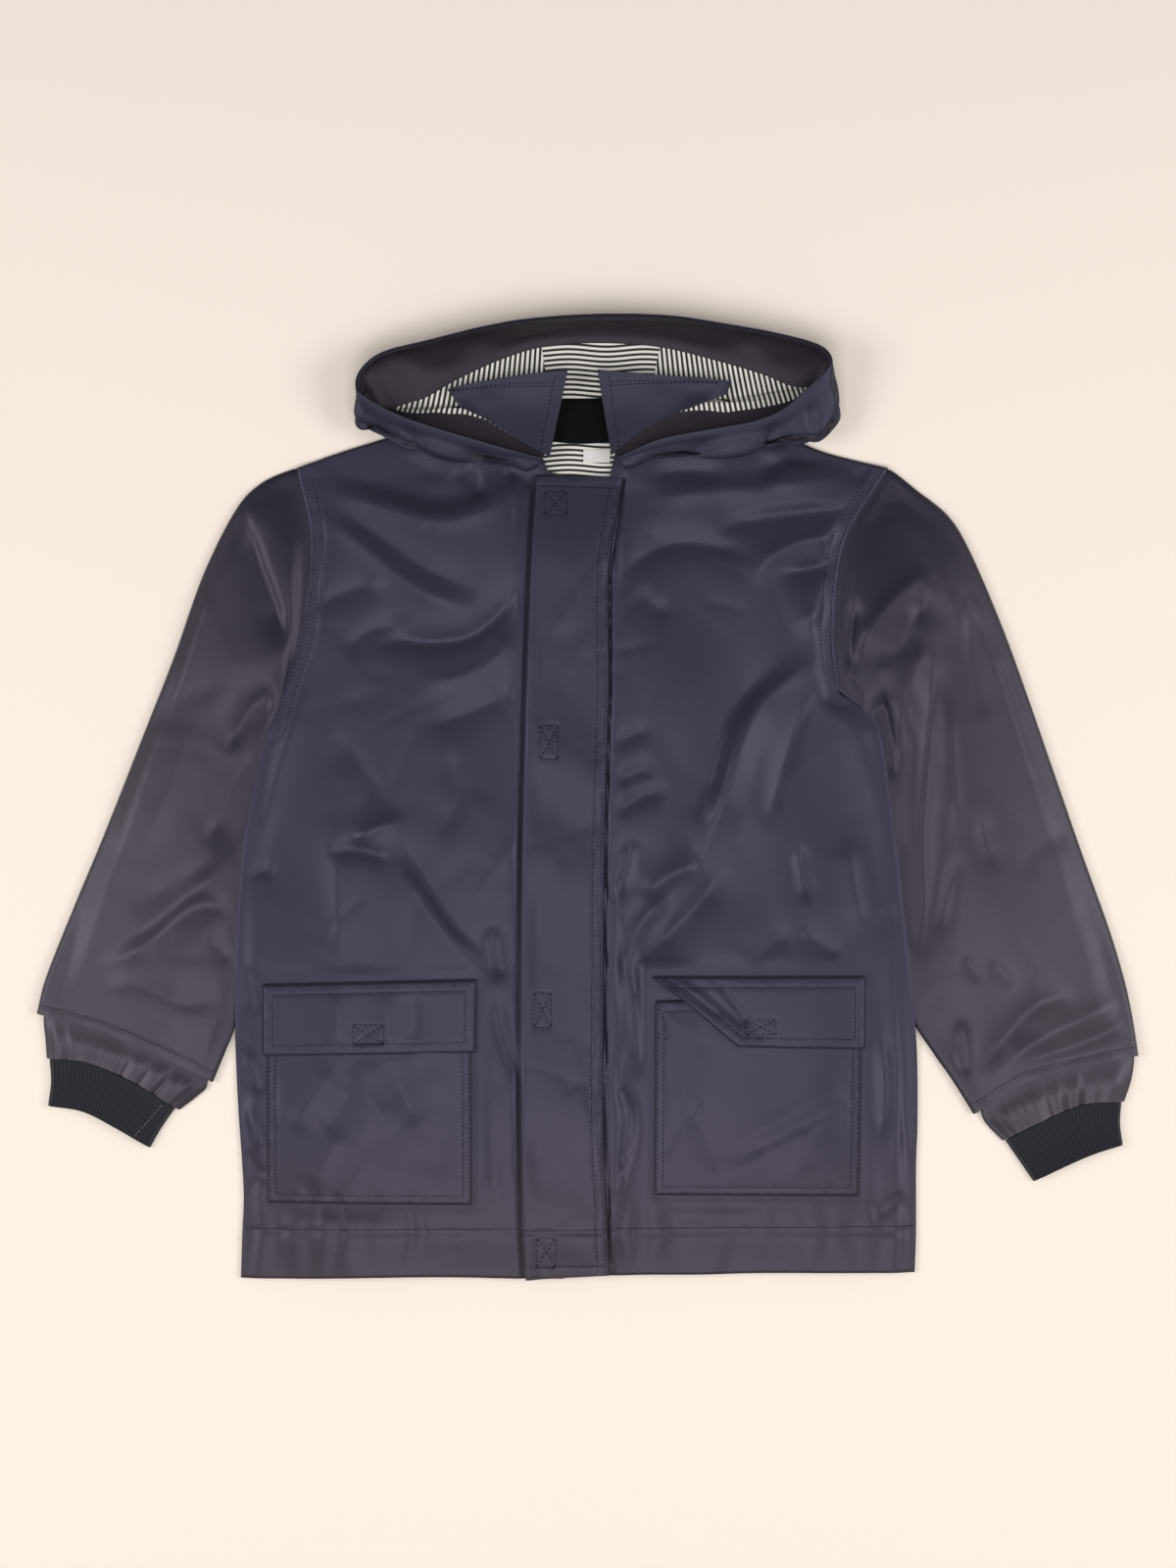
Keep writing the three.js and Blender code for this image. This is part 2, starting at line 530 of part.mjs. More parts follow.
// A sleeve as one flattened tube
function addSleeve(name, rows) {
  const inner = rows.map((section) => [section.x4, section.y4]);
  const rings = (inset) => rows.map((section, j) => {
    const heightAt = (p, t, width) => {
      const toInner = distanceToOutline(p.x, p.y, inner);
      const toOuter = t * width;
      const rise = Math.min(smooth(toOuter / SLEEVE_ROLL), smooth((toInner - INNER_FLAT) / INNER_ROLL));
      const atEnds = j < 2 || j > rows.length - 3;
      const folded = smooth((Math.min(toOuter, toInner) - SLEEVE_FOLD_CLEAR) / SLEEVE_FOLD_FADE);
      const plain = section.edge + (section.crown - section.edge) * rise;
      const relief = atEnds ? 0 : folds(p.x, p.y) * folded;
      return clamp(plain + relief, Math.min(SLEEVE_LOW, plain), SLEEVE_HIGH);
    };
    return ring(section, inset, 14, 5, heightAt);
  });
  const made = tube(rings(0), rings(SLEEVE_CLOTH));
  addPiece(name, made.positions, made.faces, SLEEVE_COLOUR, 0.45);
}

// A sleeve end as a flattened tube, rounded at its edges, with what a function adds to its top
function addEnd(name, rows, topCount, colour, roughness, added) {
  const rings = (inset) => rows.map((section) => ring(section, inset, topCount, 6, (p, t, width, k) => {
    const toEdge = Math.min(t, 1 - t) * width;
    const rise = (section.crown - section.edge) * smooth(toEdge / CUFF_ROLL);
    return section.edge + rise + added(section, toEdge, k, inset);
  }));
  const made = tube(rings(0), rings(CUFF_CLOTH));
  addPiece(name, made.positions, made.faces, colour, roughness);
}

// A gathered sleeve end, its gathers deepest at the rib seam
function addGathered(name, rows) {
  addEnd(name, rows, GATHERS * 4, SLEEVE_COLOUR, 0.5, (section, toEdge, k) => {
    const wave = Math.cos((k * Math.PI) / 2 + GATHER_SLIP * Math.sin(k));
    return (wave * section.gather * GATHER_HEIGHT * smooth(toEdge / GATHER_ROLL)) / 2;
  });
}

// A knit cuff: ribs raised over a plain inside
function addRib(name, rows) {
  addEnd(name, rows, RIBS * 2, RIB_COLOUR, 0.9, (section, toEdge, k, inset) =>
    (inset === 0 && k % 2 ? RIB_HEIGHT : 0));
}

// A flat piece of the coat between two outlines, with its floor and top at each point
function addLayer(name, net, floorAt, thickness, colour, roughness) {
  const under = net.map((row) => row.map((p) => point(p.x, p.y, floorAt(p))));
  const upper = under.map((row) => row.map((p) => point(p.x, p.y, p.z + thickness)));
  const made = wall(upper, under);
  addPiece(name, made.positions, made.faces, colour, roughness);
}

function addPlacket() {
  const first = PLACKET_RIGHT_EDGE;
  const last = PLACKET_LEFT_EDGE;
  const net = patch(joined([first[0], last[0]]), joined([first.at(-1), last.at(-1)]), joined(first),
    joined(last), even(4), even(26));
  addLayer("placket", net, () => POCKET_FLOOR, PLACKET_CLOTH, SHELL_COLOUR, 0.45);
}

function addPockets() {
  for (const row of POCKET_CORNERS) {
    const a = [row.x1, row.y1];
    const b = [row.x2, row.y2];
    const c = [row.x3, row.y3];
    const d = [row.x4, row.y4];
    const net = patch(joined([a, b]), joined([d, c]), joined([a, d]), joined([b, c]), even(8), even(8));
    addLayer(row.node, net, () => POCKET_FLOOR, CLOTH, SHELL_COLOUR, 0.45);
  }
}

// A pocket flap, with a corner lifted where its lower edge runs up to the top
function addFlap(name, flap, columns, lift) {
  const { top, bottom } = flap;
  const net = patch(joined(bottom), joined(top), joined([bottom[0], top[0]]),
    joined([bottom.at(-1), top.at(-1)]), even(columns), even(5));
  const towardsPlacket = (p) => smooth((FLAP_TURN_X - p.x) / FLAP_TURN_RUN);
  const belowHinge = (p) => smooth((FLAP_HINGE_Y - p.y) / FLAP_HINGE_RUN);
  const floorAt = (p) => FLAP_FLOOR + lift * towardsPlacket(p) * belowHinge(p);
  addLayer(name, net, floorAt, CLOTH, SHELL_COLOUR, 0.45);
}

// The middle surface of the hood: a point for a station and a share of the way from neck to rim
function hoodSurface() {
  const lines = ["n", "f", "q", "r"].map((mark) =>
    curve(HOOD.map((s) => [s["x" + mark], s["y" + mark], s["z" + mark]])));
  return (station, share) => {
    const t = clamp(station / (HOOD.length - 1), 0, 1);
    const across = new THREE.CatmullRomCurve3(lines.map((line) => line.getPoint(t)), false, "centripetal");
    const p = across.getPoint(share);
    p.z = Math.max(p.z, across.points[0].z);
    return p;
  };
}

// The direction away from the bowl of the hood
function hoodNormal(surface, station, share) {
  const last = HOOD.length - 1;
  const near = clamp(share, NORMAL_SHARE, 1 - NORMAL_SHARE);
  const along = surface(Math.min(station + NORMAL_STEP, last), near)
    .sub(surface(Math.max(station - NORMAL_STEP, 0), near));
  const across = surface(station, near + NORMAL_SHARE).sub(surface(station, near - NORMAL_SHARE));
  return across.cross(along).normalize();
}

// A panel of the hood between two stations and two shares, from one depth to another
function addHoodPanel(name, stations, shares, depths, colour, roughness) {
  const surface = hoodSurface();
  const at = (station, share, depth) => {
    const outward = hoodNormal(surface, station, share);
    const p = surface(station, share).addScaledVector(outward, depth);
    p.z = Math.max(p.z, 0);
    return p;
  };
  const net = (depth) => stations.map((station) => shares.map((share) => at(station, share, depth)));
  const made = wall(net(depths[0]), net(depths[1]));
  addPiece(name, made.positions, made.faces, colour, roughness);
}

function addHood() {
  const last = HOOD.length - 1;
  const [one, two] = CENTRE_SEAMS;
  const spans = [["right", 0, one, 22], ["centre", one, two, 4], ["left", two, last, 22]];
  const liningShares = steps([0, FACING_EDGE - FACING_GAP], [3]);
  const facingShares = steps([FACING_EDGE + FACING_GAP, 1], [6]);
  const outerShares = steps([0, FACING_EDGE, 1], [3, 6]);
  const outer = [SKIN_GAP, SKIN_GAP + CLOTH];
  const inner = [-SKIN_GAP, -SKIN_GAP - LINING];
  for (const [side, from, to, count] of spans) {
    const node = side === "centre" ? "hood_centre" : "hood_side_" + side;
    const low = from > 0 ? from + CENTRE_GAP : from;
    const high = to < last ? to - CENTRE_GAP : to;
    const stations = steps([from, to], [count]).map((s) => clamp(s, low, high));
    addHoodPanel(node, stations, outerShares, outer, SHELL_COLOUR, 0.45);
    addHoodPanel("hood_lining_" + side, stations, liningShares, inner, LINING_COLOUR, 0.9);
  }
  const round = even(2 * last).map((t) => t * last);
  addHoodPanel("hood_facing", round, facingShares, inner, FACING_COLOUR, 0.5);
}

// The stand collar, a ring pressed flat with both ends at the throat
function addCollar() {
  const base = curve(COLLAR.map((s) => [s.xb, s.yb, s.zb]));
  const edge = curve(COLLAR.map((s) => [s.xt, s.yt, s.zt]));
  const count = (COLLAR.length - 1) * 2;
  const at = (t, share) => base.getPoint(clamp(t, 0, 1)).lerp(edge.getPoint(clamp(t, 0, 1)), share);
  const net = (depth) => even(count).map((t) => even(3).map((share) => {
    const along = at(t + COLLAR_STEP, share).sub(at(t - COLLAR_STEP, share));
    const across = at(t, 1).sub(at(t, 0));
    return at(t, share).addScaledVector(along.cross(across).normalize(), depth);
  }));
  const made = wall(net(COLLAR_CLOTH / 2), net(-COLLAR_CLOTH / 2));
  addPiece("collar", made.positions, made.faces, SHELL_COLOUR, 0.45);
}

// The striped lining of the back and the bare label, seen in the gap of the collar
function addNeck() {
  const rectangle = ({ x1, x2, y1, y2 }, columns, rows) =>
    patch(joined([[x1, y1], [x2, y1]]), joined([[x1, y2], [x2, y2]]), joined([[x1, y1], [x1, y2]]),
      joined([[x2, y1], [x2, y2]]), even(columns), even(rows));
  const labelFloor = OVER_BACK + LINING + SEAM;
  addLayer("neck_lining", rectangle(NECK_LINING, 3, 2), () => OVER_BACK, LINING, LINING_COLOUR, 0.9);
  addLayer("neck_label", rectangle(LABEL, 2, 1), () => labelFloor, LABEL_CLOTH, LABEL_COLOUR, 0.8);
}

addBack();
addFront("front_right", {
  hem: HEM_RIGHT,
  side: SIDE_RIGHT,
  armhole: ARMHOLE_RIGHT,
  shoulder: SHOULDER_RIGHT,
  neck: NECK_RIGHT,
  centre: [[HEM_RIGHT.at(-1), NECK_RIGHT.at(-1)]],
}, steps([0, 0.03, 0.065, 1], [1, 1, 13]));
addFront("front_left", {
  hem: HEM_LEFT,
  side: SIDE_LEFT,
  armhole: ARMHOLE_LEFT,
  shoulder: SHOULDER_LEFT,
  neck: NECK_LEFT,
  centre: [[HEM_LEFT.at(-1), OPENING], [OPENING, NECK_LEFT.at(-1)]],
}, steps([0, 0.03, 0.065, 1], [1, 1, 14]));
addSleeve("sleeve_right", SLEEVE_RIGHT);
addSleeve("sleeve_left", SLEEVE_LEFT);
addGathered("gathered_end_right", GATHERED_RIGHT);
addGathered("gathered_end_left", GATHERED_LEFT);
addRib("rib_cuff_right", RIB_RIGHT);
addRib("rib_cuff_left", RIB_LEFT);
addPlacket();
addPockets();
addFlap("pocket_flap_right", FLAP_RIGHT, 8, 0);
addFlap("pocket_flap_left", FLAP_LEFT, 12, FLAP_LIFT);
addHood();
addCollar();
addNeck();

export default coat;
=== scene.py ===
"""A child's hooded raincoat, laid flat on its back on a pale floor.

Lengths in the tables are millimetres: X to the wearer's left, Y from the hem to the hood, Z up.
"""

import math

import bpy
import numpy as np
from mathutils.bvhtree import BVHTree
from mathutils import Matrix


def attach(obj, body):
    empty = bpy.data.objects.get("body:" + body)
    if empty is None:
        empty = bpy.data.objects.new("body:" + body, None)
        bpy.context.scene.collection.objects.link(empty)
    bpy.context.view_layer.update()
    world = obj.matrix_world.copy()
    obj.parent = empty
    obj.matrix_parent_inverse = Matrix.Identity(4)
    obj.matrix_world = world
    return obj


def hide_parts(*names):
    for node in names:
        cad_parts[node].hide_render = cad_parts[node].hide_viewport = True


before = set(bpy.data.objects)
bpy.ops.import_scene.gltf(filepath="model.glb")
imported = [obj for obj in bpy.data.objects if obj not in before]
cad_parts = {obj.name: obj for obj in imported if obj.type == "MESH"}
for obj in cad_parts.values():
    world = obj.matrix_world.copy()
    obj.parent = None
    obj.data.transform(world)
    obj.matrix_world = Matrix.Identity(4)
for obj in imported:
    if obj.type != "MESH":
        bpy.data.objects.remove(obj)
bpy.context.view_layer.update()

bl_info = {
    "name": "Kids raincoat",
    "version": (1, 0, 0),
    "blender": (4, 5, 0),
    "location": "View3D > Sidebar > Raincoat",
    "description": "Builds a child's hooded raincoat laid flat",
    "category": "Object",
}

MM = 0.001

# Outlines: sides and armholes from the hem up, hems, shoulders and neck edges from the side to the middle,
# and the back's neck and the hem's seam from the wearer's right to the left
SIDE_RIGHT = [(-248, -342), (-247, -309), (-246, -287), (-247, -262), (-250, -219), (-252, -171),
              (-252, -118), (-250, -66), (-244, -17), (-235, 24), (-227, 52)]
ARMHOLE_RIGHT = [(-227, 52), (-204, 123), (-198, 186), (-208, 237)]
SIDE_LEFT = [(234, -338), (235, -308), (235, -262), (236, -234), (236, -192), (234, -157),
             (230, -118), (225, -69), (220, -24), (215, 15), (208, 53), (196, 67), (180, 76)]
ARMHOLE_LEFT = [(180, 76), (176, 123), (184, 185), (215, 237)]
SHOULDER_RIGHT = [(-208, 237), (-178, 248), (-140, 260), (-112, 270), (-92, 278)]
SHOULDER_LEFT = [(215, 237), (171, 248), (148, 258), (124, 271), (98, 283)]
NECK_RIGHT = [(-92, 278), (-86, 277), (-72, 269), (-49, 256), (-33, 245), (-28, 235), (-17, 232)]
NECK_LEFT = [(98, 283), (90, 283.5), (78, 281), (59, 273), (35, 260.5), (21, 249), (17, 236), (16, 232)]
HEM_RIGHT = [(-248, -342), (-200, -342), (-150, -341), (-100, -341), (-50, -342), (-17, -342)]
HEM_LEFT = [(234, -338), (180, -338), (130, -338), (80, -339), (40, -339), (-16, -341)]
OPENING = (-16, 50)  # where the inner edge of the left front turns
BACK_NECK = [(-92, 278), (-84, 279), (-61, 277), (-26, 274), (0, 273), (42, 276), (68, 280),
             (84, 284), (94, 284.5), (98, 283)]
HEM_LINE = [(-247, -309), (-150, -309), (-44, -308), (60, -308), (150, -309), (235, -307)]

# Folds: width on the left of their line and on the right of it, height (below 0 a trough, above 0 a ridge)
# and the line itself, placed in the photograph's pixels, right and down from the picture's corner
PIXEL = 0.7
PICTURE_CORNER = (-419.6, 571.2)
TORSO_FOLDS = [
    # the wearer's right of the chest
    (14, 9, -2.4, [(330, 478), (400, 498), (450, 508), (505, 498)]),
    (11, 16, 4.4, [(325, 498), (365, 508), (410, 522), (450, 530), (490, 522), (520, 505), (538, 490)]),
    (12, 15, 3.4, [(318, 520), (360, 548), (400, 582), (440, 608), (498, 628)]),
    (10, 8, -2.2, [(335, 516), (375, 540), (420, 572), (470, 598), (500, 606)]),
    (12, 8, -4.8, [(372, 668), (405, 654), (440, 656), (480, 650), (512, 625), (542, 585)]),
    (8, 12, 1.8, [(420, 684), (450, 694), (490, 682), (532, 645)]),
    (10, 10, -1.8, [(308, 630), (345, 608), (400, 590)]),
    (8, 10, -1.9, [(350, 672), (375, 645), (422, 632)]),
    (11, 12, -2.2, [(425, 744), (475, 728), (542, 698)]),
    (9, 12, -1.7, [(340, 740), (375, 790), (402, 832)]),
    (10, 16, 2.2, [(266, 880), (278, 800), (300, 730), (318, 690)]),
    # the wearer's right of the belly
    (7, 6, -3.2, [(332, 870), (370, 868), (402, 880)]),
    (5, 8, 2.6, [(358, 862), (380, 846), (415, 836)]),
    (8, 15, 3.6, [(402, 872), (430, 915), (456, 950), (494, 992)]),
    (8, 7, -2.6, [(408, 850), (438, 905), (470, 950), (505, 985)]),
    (14, 9, 1.6, [(343, 825), (345, 900), (348, 992)]),
    (4, 4, -1.6, [(246, 897), (262, 890), (284, 886)]),
    (9, 12, -1.6, [(452, 760), (468, 810), (446, 860)]),
    (6, 6, -3.0, [(502, 940), (504, 975), (512, 1004)]),
    (7, 6, -2.6, [(506, 1008), (516, 1060), (537, 1112)]),
    (9, 9, 1.4, [(492, 1100), (498, 1160), (510, 1230)]),
    (3, 5, -1.8, [(531, 1238), (532, 900), (540, 540)]),
    # the wearer's left of the chest
    (11, 10, 2.4, [(652, 512), (700, 502), (760, 496), (860, 490)]),
    (15, 10, -3.0, [(715, 548), (770, 530), (850, 520), (905, 520)]),
    (12, 12, -3.4, [(628, 592), (680, 556), (740, 560), (778, 574)]),
    (8, 10, 3.4, [(768, 602), (782, 572), (812, 554), (850, 547), (900, 548)]),
    (7, 11, -3.8, [(784, 584), (830, 580), (880, 568), (925, 560)]),
    (10, 22, 5.6, [(712, 882), (735, 820), (752, 765), (772, 722), (810, 688), (840, 670)]),
    (17, 8, -3.4, [(700, 850), (722, 800), (738, 745), (765, 705), (802, 674)]),
    (8, 6, -2.0, [(782, 852), (795, 800), (812, 745), (838, 690)]),
    (10, 10, -1.6, [(646, 600), (668, 620), (690, 625)]),
    (34, 12, 2.6, [(736, 528), (790, 515), (850, 512), (890, 520)]),
    (40, 12, 3.0, [(800, 640), (850, 622), (895, 618)]),
    # the wearer's left of the belly
    (12, 8, 2.8, [(652, 918), (680, 895), (716, 878)]),
    (11, 14, -3.4, [(656, 980), (695, 942), (726, 905), (740, 880)]),
    (4, 5, -1.9, [(813, 858), (818, 890), (824, 926)]),
    (9, 12, 1.8, [(864, 850), (870, 905), (882, 955)]),
    (7, 7, -1.5, [(812, 944), (835, 962), (862, 978)]),
    (6, 6, -1.6, [(905, 925), (915, 938), (925, 940)]),
    (10, 10, -1.3, [(760, 990), (790, 960), (812, 950)]),
    # beside the placket
    (9, 9, -3.4, [(628, 960), (644, 1002), (652, 1060), (648, 1110)]),
    (7, 7, -2.0, [(626, 802), (645, 790), (672, 782)]),
    (7, 7, -2.2, [(622, 836), (652, 814), (684, 806)]),
    (5, 6, -2.6, [(620, 926), (638, 892), (646, 848)]),
    (6, 8, -2.4, [(638, 1004), (648, 955), (668, 926), (692, 908)]),
    (7, 5, -3.6, [(622, 1255), (634, 1200), (642, 1140), (630, 1100), (634, 1050)]),
    (6, 7, -1.6, [(622, 762), (650, 748), (668, 745)]),
]
EDGE_FOLDS = [
    # hollows below the hood's lower edge
    (7, 9, -4.5, [(470, 470), (482, 488), (492, 514)]),
    (9, 14, -3.6, [(330, 474), (380, 470), (430, 478), (470, 492)]),
    (6, 8, -3.2, [(512, 476), (530, 486), (545, 500)]),
    (8, 8, -4.0, [(765, 482), (800, 470), (850, 458)]),
    (6, 8, -2.8, [(660, 486), (700, 480), (745, 484)]),
    (8, 10, -3.0, [(860, 470), (890, 478), (915, 492)]),
    # short folds down the sides of the body
    (5, 7, -2.8, [(246, 1176), (256, 1190), (274, 1206)]),
    (5, 7, 2.2, [(245, 1126), (260, 1148), (270, 1176)]),
    (5, 7, -2.6, [(246, 1070), (258, 1092), (264, 1122)]),
    (5, 6, -1.8, [(244, 980), (252, 1010), (256, 1040)]),
    (5, 5, -3.2, [(921, 1004), (925, 1080), (926, 1204)]),
    (6, 5, 2.0, [(911, 1020), (914, 1100), (915, 1206)]),
    (6, 7, -2.4, [(898, 1050), (905, 1110), (900, 1170)]),
    (6, 8, -2.2, [(922, 1216), (905, 1232), (886, 1240)]),
]
SLEEVE_FOLDS = [
    # the wearer's right
    (6, 15, -6.0, [(246, 515), (262, 570), (280, 620), (290, 668)]),
    (11, 10, -4.0, [(228, 772), (250, 735), (284, 698)]),
    (12, 12, -3.6, [(206, 868), (235, 820), (266, 772)]),
    (12, 12, 3.0, [(108, 968), (160, 940), (215, 895), (244, 868)]),
    (9, 17, -5.4, [(98, 988), (150, 964), (200, 924), (243, 936)]),
    (12, 10, -2.4, [(88, 1012), (140, 1004), (190, 1024), (238, 1010)]),
    (8, 8, -2.0, [(205, 962), (222, 966), (242, 984)]),
    (14, 14, -1.4, [(165, 760), (185, 715), (240, 700)]),
    (12, 14, 1.6, [(140, 880), (175, 800), (200, 730)]),
    (6, 8, -1.4, [(150, 915), (180, 900), (225, 880)]),
    # the wearer's left
    (8, 10, 3.6, [(868, 674), (900, 625), (948, 578)]),
    (8, 8, 3.0, [(886, 702), (915, 660), (950, 616)]),
    (5, 5, -4.0, [(864, 692), (866, 650), (872, 606)]),
    (8, 9, -4.4, [(890, 690), (925, 650), (952, 600)]),
    (4, 10, -6.0, [(898, 700), (904, 740), (909, 800)]),
    (8, 8, 2.2, [(918, 765), (926, 700), (946, 650)]),
    (12, 13, -6.0, [(932, 1010), (938, 900), (944, 800), (951, 710), (952, 640)]),
    (10, 18, 3.0, [(966, 690), (970, 780), (976, 860)]),
    (5, 6, -2.2, [(957, 960), (966, 910), (981, 868)]),
    (6, 8, -1.8, [(1000, 828), (1008, 868), (1024, 886)]),
    (4, 5, -1.6, [(984, 974), (992, 990), (1002, 1002)]),
    (4, 5, -1.6, [(1008, 978), (1022, 994), (1038, 1006)]),
    (12, 10, -4.2, [(998, 1098), (1030, 1055), (1060, 1025), (1102, 1014)]),
    (10, 11, 3.4, [(1008, 1104), (1045, 1070), (1090, 1046), (1154, 1016)]),
    (8, 8, -3.0, [(1042, 1082), (1100, 1066), (1158, 1040)]),
    (5, 5, -2.8, [(979, 1036), (984, 1070), (984, 1104)]),
    (14, 12, -1.8, [(986, 610), (996, 690), (1008, 745)]),
    (12, 14, 1.8, [(938, 556), (965, 600), (986, 660)]),
    (10, 12, -1.4, [(1040, 900), (1060, 860), (1100, 850)]),
]
POCKET_FOLDS = [
    (9, 14, 2.0, [(298, 1160), (318, 1122), (346, 1082)]),
    (9, 9, -1.4, [(330, 1160), (352, 1125), (366, 1085)]),
    (10, 12, 1.5, [(355, 1085), (378, 1115), (402, 1158)]),
    (6, 8, -1.3, [(404, 1080), (412, 1115), (430, 1150)]),
    (10, 12, 1.4, [(315, 1215), (335, 1180), (350, 1150)]),
    (9, 9, -1.0, [(440, 1215), (452, 1160), (455, 1100)]),
    (9, 11, 1.4, [(745, 1165), (800, 1140), (862, 1104)]),
    (9, 11, 1.5, [(735, 1205), (790, 1172), (866, 1136)]),
    (8, 8, -1.2, [(740, 1186), (800, 1156), (864, 1120)]),
    (9, 9, -0.9, [(690, 1120), (720, 1160), (735, 1205)]),
    (5, 7, 1.2, [(343, 1010), (345, 1040), (343, 1068)]),
    (5, 7, 1.1, [(392, 1010), (396, 1040), (390, 1068)]),
    (4, 5, -1.0, [(420, 1010), (424, 1040), (418, 1068)]),
]
CREST = 2.4  # how softly the line of a fold turns
FOLD_ENDS = 0.3  # share of a fold's length over which each end fades out
FOLD_LEFT = 0.03  # what is left of it at the very end
RIGHT_FOLDS = 1.25  # how strongly the wearer's right front folds
LEFT_FOLDS = 1.5
# Areas of the fronts that lie still: how still, the area and the width over which it ends
CALM = (
    (0.75, (-236, -76, -292, -126), 10),
    (0.75, (42, 202, -288, -120), 10),
    (0.75, (-48, 18, -345, 235), 8),
    (1.0, (-105, 120, 236, 295), 20),
)

# Thicknesses of the cloth
LAID_CLOTH = 1.2
PLACKET_CLOTH = 1.5
SLEEVE_CLOTH = 1.1
END_CLOTH = 0.9
COLLAR_HALF = 0.7
# Heights of the fronts' top, and of each piece above them
FRONT_TOP = 6
LOW_EDGE = 2.8  # at the sides near the hem and at the shoulders near the neck
EDGE_RISE = 1.8  # how much higher the sides are from the pockets up and the shoulders by the armholes
LOWEST_TOP = 3.2  # what the deepest trough leaves
PLACKET_LIFT = 2.6
POCKET_LIFT = 2.2
FLAP_LIFT = 5.4
PLACKET_MOAT = 2.2
POCKET_MOAT = 0.7
PLACKET_STEP = 2.6  # how far the front sinks along the placket's joined edge
HEM = -343
HEM_SEAM = -308.5
PLACKET_ENDS = (-342, 232)
BACK_INSET = 9  # how far the back's side edges lie inside the fronts' edges from the pockets up
# Distances of the stitch rows from an edge
TOPSTITCH = 9
ARMHOLE_STITCH = 2.2
PLACKET_STITCH = 3
PLACKET_END_STITCH = 8
POCKET_EDGE_STITCH = 2
POCKET_STITCH = 6.5
FLAP_STITCH = 7.5
COLLAR_STITCH = 6
SLEEVE_STITCH = 7
STITCH_SHARE = 0.78  # share of a stitch's length that the thread fills
STITCH_FLAT = 0.8  # height of the thread against its width

# Looks that depend on the place, in metres
STRIPE_FAN = 1.8  # how much the hood's side stripes fan out, for each metre
STRIPE_FAN_FROM = 0.3  # where they keep their period
STRIPE_WAVE = 0.0009  # how far the cross stripes wave
STRIPE_TURNS = 115  # how quickly they wave, in radians for each metre
STRIPE_EDGE = 0.25  # how softly a stripe ends
PAINTED_LIGHT_SPAN = (-0.20, -0.34)  # from where to where along Y the cloth turns to its painted light, lighter and warmer towards the hem
# how the painted light towards the hem tints the colour
PAINTED_LIGHT_TINT = (1.5, 1.36, 0.96)
UNEVEN = (0.86, 1.14)  # darkest and lightest tone against the colour
PAINTED_SHADE_SPAN = (0.21, 0.33)  # from where to where away from the middle the painted shade beside the body ends
# colour of the painted shade beside the body
PAINTED_SHADE = (0.012, 0.010, 0.022, 1)

# The stage, in metres and watts
FLOOR_SIZE = 8
FLOOR_LEVEL = -0.0003
# Lights: name, place and size
LIGHTS = (
    ("front", (0.0, -0.75, 2.3), 1.5),
    ("right", (-2.0, -0.1, 1.6), 1.1),
    ("left", (2.0, -0.1, 1.6), 1.1),
)
LIGHT_POWER = 24
LIGHT_COLOUR = (1.0, 0.98, 0.97)
SKY_COLOUR = (1.0, 0.97, 0.94, 1)
SKY_STRENGTH = 0.22
PICTURE_WIDTH = 0.84
CAMERA_DISTANCE = 2.4
CAMERA_PLACE = (0.0003, 0.0112, CAMERA_DISTANCE + 0.006)

# Sections across each sleeve: outer edge, two points, inner edge, height of the edges and the crown
SLEEVE_RIGHT = np.array([
    (-204, 236, -194, 186, -200, 123, -218, 55, 3.0, 3.0),
    (-212, 236, -201, 185, -206, 121, -224, 52, 3.0, 3.0),
    (-234, 226, -217, 165, -217, 102, -228, 29, 3.0, 7.0),
    (-252, 207, -239, 137, -231, 74, -234, 1, 3.0, 10.0),
    (-275, 161, -261, 88, -247, 25, -239, -32, 3.0, 11.0),
    (-296, 102, -280, 39, -261, -17, -243, -69, 3.0, 11.5),
    (-318, 46, -301, -10, -278, -59, -246, -101, 3.0, 11.5),
    (-346, -25, -325, -66, -295, -101, -249, -131, 3.0, 11.0),
    (-366, -73, -343, -104, -308, -132, -252, -161, 3.2, 10.5),
    (-387, -126, -359, -141, -316, -162, -259, -180, 4.6, 9.0),
    (-394, -153, -352, -164, -309, -182, -268, -202, 5.0, 8.5),
])
SLEEVE_LEFT = np.array([
    (211, 236, 180, 185, 172, 123, 175, 77, 3.0, 3.0),
    (218, 235, 187, 184, 179, 121, 183, 74, 3.0, 3.2),
    (236, 221, 203, 162, 195, 104, 192, 58, 3.0, 7.0),
    (258, 203, 225, 141, 210, 81, 202, 36, 3.0, 10.0),
    (273, 179, 243, 109, 223, 53, 208, 13, 3.0, 11.0),
    (293, 133, 264, 71, 238, 18, 212, -24, 3.0, 11.5),
    (310, 88, 282, 29, 252, -24, 216, -55, 3.0, 11.5),
    (336, 13, 303, -32, 263, -69, 220, -90, 3.0, 11.0),
    (354, -39, 322, -78, 277, -108, 225, -129, 3.0, 10.5),
    (373, -92, 338, -122, 289, -143, 232, -157, 3.2, 10.0),
    (384, -129, 347, -153, 296, -172, 247, -181, 4.2, 9.0),
    (390, -157, 352, -174, 306, -188, 261, -201, 4.8, 8.5),
    (394, -183, 354, -191, 315, -202, 276, -225, 5.0, 8.5),
])
